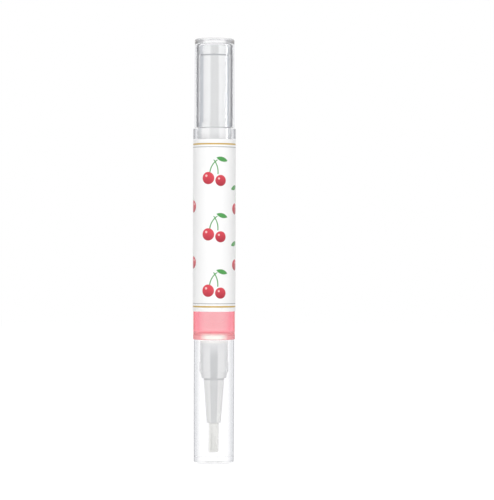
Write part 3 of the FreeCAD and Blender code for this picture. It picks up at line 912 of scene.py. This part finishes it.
@dataclass(frozen=True)
class PrintedFilm(Finish):
    """White polypropylene film, gloss varnished: a smooth white wrap with small fruit sprigs printed on it.

    Attributes:
        name: The material's name.
        ground: Colour of the film.
        berry: Colour of the fruit.
        berry_shade: Colour of the fruit's shaded side.
        shaded: Heights in the sprig at which the shade starts and is full.
        shine: Colour of the light spot on each fruit.
        leaf: Colour of the leaves and stalks.
        gold: Colour of the heavier rings.
        grey: Colour of the finer rings.
        rings: Height above the film's lower edge, width and colour of each ring, in millimetres.
        size: How large a sprig is, as a share of the size that its shapes are given in.
        column: Distance between columns of sprigs round the film, in millimetres.
        row: Distance between sprigs up a column, in millimetres.
        first: Height of the first sprig above the film's lower edge, in millimetres.
        printed: Middle and half of the height that takes sprigs, in millimetres.
        blur: Softness of a printed edge, in millimetres.
        stalks: Circles that the stalks follow.
        stalk_middle: Height in the sprig of the stalks' middle.
        stalk_reach: Distances from it at which they are gone and at which they are whole.
        leaf_sides: Dots whose overlap is the leaf.
        berries: Dots of the fruit.
        shines: Dots of the light spots.
        ripple: Size of the varnish's faint ripple, in millimetres.
        roughness: Least and greatest roughness of the film.
        ior: Index of refraction.
    """

    name: str = "gloss_film_printed"
    ground: str = "#FAFAFA"
    berry: str = "#D9404F"
    berry_shade: str = "#A81F35"
    shaded: tuple[float, float] = (-1.6, -4.0)
    shine: str = "#F6C6C6"
    leaf: str = "#4A9A4C"
    gold: str = "#C9A548"
    grey: str = "#8E8C8A"
    rings: tuple[tuple[float, float, str], ...] = (
        (1.6, 0.5, gold), (2.6, 0.2, grey), (54.9, 0.5, gold), (53.9, 0.2, grey),
    )
    size: float = 1.3
    column: float = 11.06
    row: float = 18.4
    first: float = 9.6
    printed: tuple[float, float] = (28.2, 20.0)
    blur: float = 0.05
    stalks: tuple[Circle, ...] = ((3.4, -1.2, 4.5, 0.28), (-4.0, -0.6, 5.0, 0.28))
    stalk_middle: float = 0.7
    stalk_reach: tuple[float, float] = (1.9, 1.7)
    leaf_sides: tuple[Circle, ...] = ((1.6, 0.9, 0.0, 4.8), (2.6, 4.4, 0.0, 4.8))
    berries: tuple[Circle, ...] = ((-1.5, -2.1, 0.0, 3.1), (1.7, -2.7, 0.0, 2.8))
    shines: tuple[Circle, ...] = ((-2.0, -1.5, 0.0, 0.6), (1.25, -2.2, 0.0, 0.52))
    ripple: float = 0.6
    roughness: tuple[float, float] = (0.26, 0.36)
    ior: float = 1.49

    def line(self, tree: bpy.types.NodeTree, place: Any, middle: float, width: float) -> bpy.types.Node:
        """Ink a line where a place comes within half its width of its middle, with a soft edge."""
        return near(tree, place, middle, 0.5 * width + self.blur, 0.5 * width - self.blur)

    def pair(self, tree: bpy.types.NodeTree, spot: bpy.types.Node, circles: tuple[Circle, ...],
             operation: str = "MAXIMUM") -> bpy.types.Node:
        """Ink two circles together.

        Formula: a circle is a line at its radius, over the distance from its centre, and the greater or the
        lesser of the two inks is taken.

        Args:
            tree: The material's nodes.
            spot: Place within the sprig.
            circles: The two circles.
            operation: MAXIMUM for both circles, or MINIMUM for their overlap.

        Returns:
            The node whose first output is the share of ink.
        """
        inks = []
        for x, y, radius, width in circles:
            away = add(tree, "VectorMath", {0: spot, 1: (x, y, 0.0)}, operation="DISTANCE").outputs["Value"]
            inks.append(self.line(tree, away, radius, width))
        return add(tree, "Math", dict(enumerate(inks)), operation=operation)

    def inked(self, tree: bpy.types.NodeTree) -> Any:
        """Print the sprigs and rings on the film.

        Formula: the film is cut into cells, one column and one row apart, every second column shifted by
        half a row and mirrored, and each cell within the print's height holds one sprig.

        Args:
            tree: The material's nodes.

        Returns:
            The film's colour.
        """
        place = add(tree, "SeparateXYZ", {0: add(tree, "UVMap", uv_map=PRINT_MAP)})
        u, v = place.outputs[0], place.outputs[1]
        half_column, half_row = 0.5 * self.column, 0.5 * self.row
        column = add(tree, "Math", {0: u, 1: self.column}, operation="DIVIDE")
        column = add(tree, "Math", {0: column}, operation="ROUND")
        odd = add(tree, "Math", {0: column, 1: 2.0}, operation="FLOORED_MODULO")
        mirror = add(tree, "Math", {0: odd, 1: -2.0, 2: 1.0}, operation="MULTIPLY_ADD")
        across = add(tree, "Math", {0: u, 1: half_column, 2: -half_column}, operation="WRAP")
        across = add(tree, "Math", {0: across, 1: mirror}, operation="MULTIPLY")
        lifted = add(tree, "Math", {0: odd, 1: half_row, 2: v}, operation="MULTIPLY_ADD")
        lifted = add(tree, "Math", {0: lifted, 1: self.first}, operation="SUBTRACT")
        up = add(tree, "Math", {0: lifted, 1: half_row, 2: -half_row}, operation="WRAP")
        centre = add(tree, "Math", {0: v, 1: up}, operation="SUBTRACT")
        inside = add(tree, "Math", {0: centre, 1: self.printed[0], 2: self.printed[1]}, operation="COMPARE")
        across, up = (add(tree, "Math", {0: way, 1: self.size}, operation="DIVIDE") for way in (across, up))
        spot = add(tree, "CombineXYZ", {0: across, 1: up})

        reach = near(tree, up, self.stalk_middle, *self.stalk_reach)
        stalk = add(tree, "Math", {0: self.pair(tree, spot, self.stalks), 1: reach}, operation="MULTIPLY")
        leaf = self.pair(tree, spot, self.leaf_sides, "MINIMUM")
        green = add(tree, "Math", {0: stalk, 1: leaf}, operation="MAXIMUM")
        red = layered(tree, self.berry, [(up, *self.shaded, 1.0, self.berry_shade)])
        inks = (
            (green, self.leaf),
            (self.pair(tree, spot, self.berries), red),
            (self.pair(tree, spot, self.shines), self.shine),
        )
        return layered(tree, self.ground, [
            *((ink, 0.0, 1.0, inside, dye) for ink, dye in inks),
            *((self.line(tree, v, height, width), 0.0, 1.0, 1.0, dye) for height, width, dye in self.rings),
        ])

    def draw(self, tree: bpy.types.NodeTree) -> dict[str, bpy.types.Node]:
        """Draw the varnished film and its print.

        Args:
            tree: The material's nodes.

        Returns:
            The surface.
        """
        place = add(tree, "TexCoord").outputs["Object"]
        ripple = add(tree, "TexNoise", {"Vector": place, "Scale": per_metre(self.ripple), "Detail": 1.0})
        relief = add(tree, "Bump", {"Height": ripple, "Strength": 0.08, "Distance": 0.01 * MM})
        smooth, rough = self.roughness
        gloss = add(tree, "MapRange", {"Value": ripple, "To Min": smooth, "To Max": rough})
        return {"Surface": add(
            tree, "BsdfPrincipled",
            {"Base Color": self.inked(tree), "Roughness": gloss, "Normal": relief, "IOR": self.ior,
             "Coat Weight": 0.2, "Coat Roughness": 0.12},
        )}


CLEAR = ClearMoulded()
OIL = TintedOil()
# White and rubber pieces: painted light makes their sides and flat ends lighter than where they are seen
# square on.
WHITE = SatinMoulded("white_acetal_moulded", "#EDEDEB", "#F6F6F4", "#F6F6F4")
RUBBER = SatinMoulded("milky_silicone_moulded", "#E2E2DE", "#ECECE8", "#ECECE8", roughness=0.5, ior=1.41)
NYLON = DrawnNylon()
FILM = PrintedFilm()


@dataclass
class Cap:
    """The clear push-on cap, a deep cup that the pen stands on. Sizes are in millimetres."""

    wall: float = 1.85
    end_wall: float = 1.85
    draft: float = 0.12
    bore_draft: float = 0.06
    edge_round: float = 0.6
    floor_round: float = 0.8
    mouth_round: float = 0.12
    mouth_chamfer: float = 0.3

    def build(self) -> None:
        """Turn the cup and dress it.

        Formula: the outline goes from the middle of the end, up the drafted outer wall, over the mouth and
        down the drafted bore to the middle of the floor.
        """
        solid = Span.of("cap")
        bore = solid.radius - self.wall
        floor = solid.low + self.end_wall
        turned([
            (0.0, solid.low),
            (solid.radius - self.draft, solid.low, self.edge_round),
            (solid.radius, solid.high, self.mouth_round),
            (bore + self.mouth_chamfer, solid.high),
            (bore, solid.high - self.mouth_chamfer),
            (bore - self.bore_draft, floor, self.floor_round),
            (0.0, floor),
        ]).piece("cap_shell", Body.CAP, Slot.CLEAR, CLEAR, "cap")


@dataclass
class BrushTip:
    """The brush, its nozzle and the ribbed collar that holds it. Sizes are in millimetres."""

    hairs: int = 430
    hair_radius: float = 0.075
    hair_taper: float = 0.7
    tuft_radius: float = 1.68
    tip_share: float = 0.96
    root_gap: float = 0.1
    wave: float = 0.05
    lean: float = -0.12
    ragged: float = 0.5
    rings: int = 7
    sides: int = 5
    seed: int = 11
    # Half widths of the collar's painted light at its neck and top, and the offset of the painted shade band
    # on the nozzle under the collar, in millimetres.
    painted_light_neck: float = 6.0
    painted_glow_top: float = 1.6
    joint: float = 0.3

    def tuft(self) -> Surface:
        """Work out the filaments of the tuft.

        Formula: filament k is rooted at radius R sqrt((k + 1/2) / n) and angle k times the golden angle,
        and its axis runs straight to the tip, drawn in by the tip share, with a bend sideways that is widest
        at the tip and leans the whole tuft a little. A ring of points whose radius tapers is carried along
        the axis, and a point closes each end. Tip heights differ by up to the ragged length, and the middle
        filaments stop in front of the feed tube.

        Returns:
            All filaments as one surface, with a tone for each filament.
        """
        solid, tube = Span.of("bristles"), Span.of("feed_tube")
        draw = np.random.default_rng(self.seed)
        number = np.arange(self.hairs)
        radius = self.tuft_radius * np.sqrt((number + 0.5) / self.hairs)
        angle = number * math.pi * (3.0 - math.sqrt(5.0))
        tip = solid.low + self.ragged * draw.random(self.hairs) ** 2
        over_tube = radius < tube.radius + 2.0 * self.hair_radius
        root = np.where(over_tube, tube.low, solid.high) - self.root_gap
        sway = draw.normal(0.0, self.wave, (self.hairs, 2)) + [self.lean, 0.0]
        along = np.linspace(0.0, 1.0, self.rings)
        drawn = radius[:, None] * (self.tip_share + (1.0 - self.tip_share) * along)
        axis = polar(drawn, angle[:, None], tip[:, None] + (root - tip)[:, None] * along)
        axis[..., :2] += sway[:, None] * (1.0 - along[:, None]) ** 2
        girth = self.hair_radius * (self.hair_taper + (1.0 - self.hair_taper) * along)
        skin = axis[:, :, None] + girth[:, None, None] * polar(1.0, around(self.sides), 0.0)
        size = self.rings * self.sides
        block = np.concatenate([skin.reshape(self.hairs, size, 3), axis[:, :1], axis[:, -1:]], axis=1)
        shift = (number * (size + 2))[:, None, None]
        faces = [
            (part[None] + shift).reshape(-1, part.shape[1])
            for part in (lattice(self.rings, self.sides), *fans(size, self.sides))
        ]
        tone = np.repeat(draw.random(self.hairs), size + 2)
        return Surface(block.reshape(-1, 3), faces, tone=tone)

    def build(self) -> None:
        """Make the tuft and dress the solids that hold it."""
        self.tuft().piece("bristle_tuft", Body.BARREL, Slot.NYLON, NYLON, "bristles")
        collar = Span.of("tip_collar")
        # Painted light and shade: the collar is darker in its middle, lighter at its sides, and painted
        # lighter at its neck and top where the oil's glow falls.
        SatinMoulded(
            "natural_polypropylene_collar", "#C3C4C5", "#E6E6E6", "#D9D9DA", edge_from=0.3,
            bands=((collar.high, self.painted_light_neck, "#E2E2E3"), (collar.high, self.painted_glow_top, "#FBF6F2")),
        ).dress("tip_collar")
        # Painted shade: the nozzle has a darker band just under the collar, and painted lighter sides.
        SatinMoulded(
            "natural_polypropylene_nozzle", "#CDCECE", "#E6E6E5", "#ECECEB", side_from=0.06,
            bands=((collar.low - self.joint, 2.0 * self.joint, "#BDBEBF"),),
        ).dress("brush_nozzle", "bristle_anchor")
        WHITE.dress("feed_tube")
        RUBBER.dress("tip_gasket")


@dataclass
class Barrel:
    """The clear barrel, the oil in it and the printed film round it. Sizes are in millimetres."""

    wall: float = 1.2
    front_wall: float = 1.0
    chamber_round: float = 2.2
    edge_round: float = 0.25
    step_round: float = 0.08
    nipple_bore: float = 2.2
    nipple_round: float = 0.1
    band: float = 3.6
    groove_inset: float = 1.18
    groove_length: float = 1.04
    groove_depth: float = 0.15
    film: float = 0.12
    film_gap: float = 0.02
    film_seam: float = 0.12
    film_steps: int = 240
    wetting: float = 0.03
    oil_gap: float = 0.02
    oil_round: float = 0.15

    @property
    def outside(self) -> float:
        """Radius of the barrel under the film."""
        return Span.of("label").radius - self.film - self.film_gap

    @property
    def floor(self) -> float:
        """Height of the chamber's floor."""
        return Span.of("tip_collar").high + self.front_wall

    def shell(self) -> Surface:
        """Turn the barrel.

        Formula: the outline goes from the nipple's mouth up its side, out along the front face, up the
        outer wall past the band, over the rear edge and down the bore, through the sleeve's groove, to the
        chamber's floor and the nipple's bore.

        Returns:
            The closed shell.
        """
        solid, nipple, front = Span.of("barrel"), Span.of("tip_gasket").radius, Span.of("tip_collar").high
        bore = self.outside - self.wall
        groove = solid.high - self.groove_inset
        return turned([
            (self.nipple_bore, solid.low),
            (nipple, solid.low, self.nipple_round),
            (nipple, front),
            (self.outside, front, self.edge_round),
            (self.outside, solid.high - self.band),
            (solid.radius, solid.high - self.band, self.step_round),
            (solid.radius, solid.high, self.edge_round),
            (bore, solid.high, self.step_round),
            (bore, groove),
            (bore + self.groove_depth, groove),
            (bore + self.groove_depth, groove - self.groove_length),
            (bore, groove - self.groove_length),
            (bore, self.floor, self.chamber_round),
            (self.nipple_bore, self.floor),
        ])

    def column(self) -> Surface:
        """Turn the oil in the chamber, which wets the bore so that no air shows between them.

        Formula: the outline goes along the chamber's floor, up the bore and across under the piston.

        Returns:
            The closed column.
        """
        top = Span.of("oil_fill").high
        radius = self.outside - self.wall + self.wetting
        foot = self.floor + self.oil_gap - self.wetting
        return turned([
            (0.0, foot), (radius, foot, self.chamber_round), (radius, top, self.oil_round), (0.0, top),
        ])

    def stem(self) -> Surface:
        """Turn the oil in the nipple's bore.

        Formula: the outline goes from the nipple's mouth up its bore to the chamber's floor.

        Returns:
            The closed stem.
        """
        radius = self.nipple_bore + self.wetting
        foot = Span.of("barrel").low + self.oil_gap
        top = self.floor - 2.0 * self.wetting
        outline = [
            (0.0, foot), (radius, foot, self.nipple_round), (radius, top, self.nipple_round), (0.0, top),
        ]
        return turned(outline, RING_STEPS // 2)

    def wrap(self) -> Surface:
        """Carry the film's thin section round the barrel, from one edge of its seam to the other.

        Formula: point (i, j) is corner j of the section at angle a_i, where the angles run once round from
        the seam at +Y, less the seam's width. Its u is the angle from -Y times the outer radius, and its v
        the height above the lower edge. A quad closes each end.

        Returns:
            The film, with its u and v in millimetres.
        """
        film = Span.of("label")
        half = 0.5 * self.film_seam / film.radius
        angle = np.linspace(half, FULL_TURN - half, self.film_steps) + 0.25 * FULL_TURN
        inner = film.radius - self.film
        section = np.array([
            (inner, film.low), (film.radius, film.low), (film.radius, film.high), (inner, film.high),
        ])
        points = polar(section[:, 0], angle[:, None], section[:, 1]).reshape(-1, 3)
        u = np.repeat((angle - 0.75 * FULL_TURN) * film.radius, len(section))
        v = points[:, 2] - film.low
        last = len(points) - len(section)
        ends = np.array([[0, 1, 2, 3], [last + 3, last + 2, last + 1, last]])
        return Surface(points, [lattice(len(angle), len(section)), ends], uv=np.stack([u, v], axis=1))

    def build(self) -> None:
        """Make the shell, the oil and the film, and give the oil column a mesh of its own."""
        top, floor = Span.of("oil_fill").high, self.floor
        finish = ClearBarrel(oil_top=top, floor=floor)
        self.shell().piece("barrel_shell", Body.BARREL, Slot.CLEAR, finish, "barrel")
        self.wrap().piece("label_film", Body.BARREL, Slot.FILM, FILM, "label")
        column = self.column().piece("oil_column", Body.BARREL, Slot.OIL, OIL, "oil_fill")
        self.stem().piece("oil_stem", Body.BARREL, Slot.OIL, OIL)
        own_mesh(column)


@dataclass
class Drive:
    """The screw, piston, nut and ratchet inside the barrel. Sizes are in millimetres."""

    shank: float = 2.0
    flat: float = 1.55
    head: float = 1.4
    head_chamfer: float = 0.1
    neck: float = 1.35
    recess: float = 1.0
    recess_room: float = 0.25
    end_chamfer: float = 0.3
    starts: int = 2
    lead: float = 3.0
    depth: float = 0.32
    groove_reach: float = 1.6
    flank_slope: float = 4.0
    ring_step: float = 0.15
    sides: int = 48

    def screw(self) -> Surface:
        """Cut the two-start thread on the rod.

        Formula: the shank's radius at height z and angle a is the crest less the depth times a trapezoid
        wave of the phase starts times (z / lead - a / full turn), so the ridges climb to the right, and y is
        then held within the two flats. Head and neck are plain rings of their own radius.

        Returns:
            The closed rod.
        """
        solid = Span.of("screw_rod")
        front = Span.of("piston").high - self.recess + self.recess_room
        head_end, edge = solid.low + self.head, self.head_chamfer
        chamfered = self.shank - self.end_chamfer
        plain = np.array([
            (solid.radius - edge, solid.low),
            (solid.radius, solid.low + edge),
            (solid.radius, head_end - edge),
            (solid.radius - edge, head_end),
            (self.neck, head_end),
            (self.neck, front),
            (chamfered, front),
        ])
        rise = np.arange(front + self.end_chamfer, solid.high - self.end_chamfer, self.ring_step)
        thread = np.stack([np.full(len(rise), self.shank), rise], axis=1)
        outline = np.vstack([plain, thread, [(chamfered, solid.high)]])
        crest, height = outline[:, :1], outline[:, 1:]
        angle = around(self.sides)
        phase = self.starts * (height / self.lead - angle / FULL_TURN)
        wave = np.clip(self.groove_reach - self.flank_slope * np.abs(phase % 1.0 - 0.5), 0.0, 1.0)
        points = polar(crest - self.depth * (crest == self.shank) * wave, angle, height)
        y = points[..., 1]
        points[..., 1] = np.where(crest <= self.shank, np.clip(y, -self.flat, self.flat), y)
        points = points.reshape(-1, 3)
        faces = [lattice(len(outline), self.sides), *fans(len(points), self.sides)]
        return Surface(np.vstack([points, [(0.0, 0.0, solid.low), (0.0, 0.0, solid.high)]]), faces)

    def build(self) -> None:
        """Make the threaded rod and dress the drive's solids."""
        self.screw().piece("screw_thread", Body.ROD, Slot.WHITE, WHITE, "screw_rod")
        WHITE.dress("piston", "thread_nut")


@dataclass
class Knob:
    """The clear twist knob and the milky core that it turns. Sizes are in millimetres."""

    wall: float = 1.2
    end_wall: float = 1.25
    draft: float = 0.15
    edge_round: float = 0.45
    floor_round: float = 1.0
    mouth_round: float = 0.12
    mouth_chamfer: float = 0.2
    # Half width of the painted shade band where the plug meets the core, in millimetres.
    joint: float = 0.4

    def build(self) -> None:
        """Turn the knob and dress its core.

        Formula: the outline goes from the middle of the knob's floor, down its bore, round the mouth and
        up the drafted outer wall to the middle of its end.
        """
        solid = Span.of("twist_knob")
        bore = solid.radius - self.wall
        floor = solid.high - self.end_wall
        turned([
            (0.0, floor),
            (bore, floor, self.floor_round),
            (bore, solid.low + self.mouth_chamfer),
            (bore + self.mouth_chamfer, solid.low),
            (solid.radius, solid.low, self.mouth_round),
            (solid.radius - self.draft, solid.high, self.edge_round),
            (0.0, solid.high),
        ]).piece("knob_shell", Body.KNOB, Slot.CLEAR, ClearKnob(floor=floor), "twist_knob")
        # Painted shade: the core has a darker middle, a grey-blue edge and a darker band where the plug meets
        # it; its sides are painted lighter.
        SatinMoulded(
            "milky_polypropylene_moulded", "#D3D4D4", "#EFF0F0", "#C2C6CC", edge_from=0.28, roughness=0.15,
            bands=((Span.of("drive_core").high, self.joint, "#BFC1C4"),),
        ).dress("drive_core", "core_plug")
        # Painted light and shade: the sleeve is lighter at its sides and greyer at its edge.
        SatinMoulded(
            "milky_polypropylene_sleeve", "#DFE0E0", "#F6F6F6", "#DADCDF", edge_from=0.28, roughness=0.18,
        ).dress("ratchet_sleeve")


@dataclass(frozen=True)
class Lamp:
    """A soft studio lamp aimed at the pen.

    Attributes:
        name: The lamp's name.
        azimuth: Angle round the pen from the camera's side towards +X, in degrees.
        elevation: Angle above the horizon, in degrees.
        distance: Distance from the pen's middle, in metres.
        size: Width and height of the lamp, in metres.
        level: Share of full white that it adds to a white surface facing it.
        mirrored: Whether glossy surfaces show the lamp.
        through: Whether it shows through clear walls, and in gloss behind them.
        matt: Whether it lights matt surfaces.
    """

    name: str
    azimuth: float
    elevation: float
    distance: float
    size: tuple[float, float]
    level: float
    mirrored: bool = False
    through: bool = False
    matt: bool = True


@dataclass
class Studio:
    """White sweep, soft lamps and the camera. The floor's gap and the sensor are in millimetres."""

    ambient: float = 0.375
    floor_glow: float = 0.93
    floor_albedo: float = 0.18
    floor_paper: str = "#E8E8E8"
    floor_size: float = 3.0
    floor_gap: float = 0.05
    camera_distance: float = 0.8
    camera_offset: float = 0.0108
    camera_height: float = 0.0701
    frame_height: float = 0.1647
    sensor: float = 36.0
    roll: float = -0.135
    lamps: list[Lamp] = field(default_factory=lambda: [
        Lamp("front_softbox", 0.0, 12.0, 1.0, (0.5, 0.8), 0.66),
        Lamp("left_softbox", -64.0, 6.0, 0.9, (0.6, 0.8), 0.02, mirrored=True),
        Lamp("right_strip", 84.0, 12.2, 0.9, (0.18, 0.3), 0.36, through=True, matt=False),
        Lamp("back_softbox", 180.0, 20.0, 1.2, (0.8, 0.8), 0.3),
        Lamp("top_softbox", 180.0, 86.0, 1.0, (0.5, 0.5), 0.22),
    ])

    def world(self) -> None:
        """Light the scene evenly, and show white to the eye, to gloss and through clear plastic."""
        world = bpy.data.worlds.new("white_sweep")
        bpy.context.scene.world = world
        tree = blank(world)
        rays = add(tree, "LightPath").outputs
        seen = add(tree, "Math", {0: rays["Is Camera Ray"], 1: rays["Is Glossy Ray"]}, operation="MAXIMUM")
        seen = add(tree, "Math", {0: seen, 1: rays["Is Transmission Ray"]}, operation="MAXIMUM")
        lighting, white = (
            add(tree, "Background", {"Color": WHITE_LIGHT, "Strength": strength})
            for strength in (self.ambient, 1.0)
        )
        shown = add(tree, "MixShader", {0: seen, 1: lighting, 2: white})
        add(tree, "OutputWorld", {"Surface": shown})

    def floor(self) -> None:
        """Lay the pale floor, white to the eye but for the pen's soft shadow."""
        half, drop = 0.5 * self.floor_size, -self.floor_gap * MM
        corners = [(x * half, y * half, drop) for x, y in ((-1, -1), (1, -1), (1, 1), (-1, 1))]
        mesh = bpy.data.meshes.new("studio_floor")
        mesh.from_pydata(corners, [], [(0, 1, 2, 3)])
        material = bpy.data.materials.new("white_paper_sweep")
        tree = blank(material)
        bounced = add(tree, "LightPath").outputs["Is Diffuse Ray"]
        paper = add(tree, "BsdfDiffuse", {"Color": self.floor_paper})
        shade = add(tree, "BsdfDiffuse", {"Color": (self.floor_albedo,) * 3 + (1.0,)})
        glow = add(tree, "Emission", {"Color": WHITE_LIGHT, "Strength": self.floor_glow})
        white = add(tree, "AddShader", {0: shade, 1: glow})
        shown = add(tree, "MixShader", {0: bounced, 1: white, 2: paper})
        add(tree, "OutputMaterial", {"Surface": shown})
        mesh.materials.append(material)
        placed("studio_floor", mesh)

    def light(self, lamp: Lamp) -> None:
        """Hang a lamp whose power gives its level on the pen.

        Formula: a lamp of area A and power P has the radiance P / (pi A), and its level is that times its
        solid angle A / d^2 over pi, so P is the level times pi^2 d^2.

        Args:
            lamp: The lamp to hang.
        """
        data = bpy.data.lights.new(lamp.name, "AREA")
        data.shape = "RECTANGLE"
        data.size, data.size_y = lamp.size
        data.energy = lamp.level * math.pi ** 2 * lamp.distance ** 2
        turn, lift = math.radians(lamp.azimuth), math.radians(lamp.elevation)
        hung = placed(lamp.name, data)
        hung.location = (
            lamp.distance * math.sin(turn) * math.cos(lift),
            -lamp.distance * math.cos(turn) * math.cos(lift),
            self.camera_height + lamp.distance * math.sin(lift),
        )
        hung.rotation_euler = (0.5 * math.pi - lift, 0.0, turn)
        hung.visible_transmission = lamp.through
        hung.visible_diffuse = lamp.matt
        hung.visible_glossy = lamp.mirrored
        log.info("%s: level %.2f", lamp.name, lamp.level)

    def camera(self) -> None:
        """Set the level camera where the photograph was taken from."""
        data = bpy.data.cameras.new("camera")
        data.sensor_width = self.sensor
        data.lens = self.sensor * self.camera_distance / self.frame_height
        camera = placed("camera", data)
        camera.location = (self.camera_offset, -self.camera_distance, self.camera_height)
        camera.rotation_euler = (0.5 * math.pi, math.radians(self.roll), 0.0)
        bpy.context.scene.camera = camera

    def build(self) -> None:
        """Set up the camera, the world, the floor and the lamps."""
        bpy.context.scene.view_settings.view_transform = "Standard"
        self.camera()
        self.world()
        self.floor()
        for lamp in self.lamps:
            self.light(lamp)


def main() -> None:
    """Build the studio and the pen."""
    logging.basicConfig(level=logging.INFO, format="%(name)s %(message)s")
    for assembly in (Studio(), Cap(), BrushTip(), Barrel(), Drive(), Knob()):
        assembly.build()


if __name__ == "__main__":
    main()
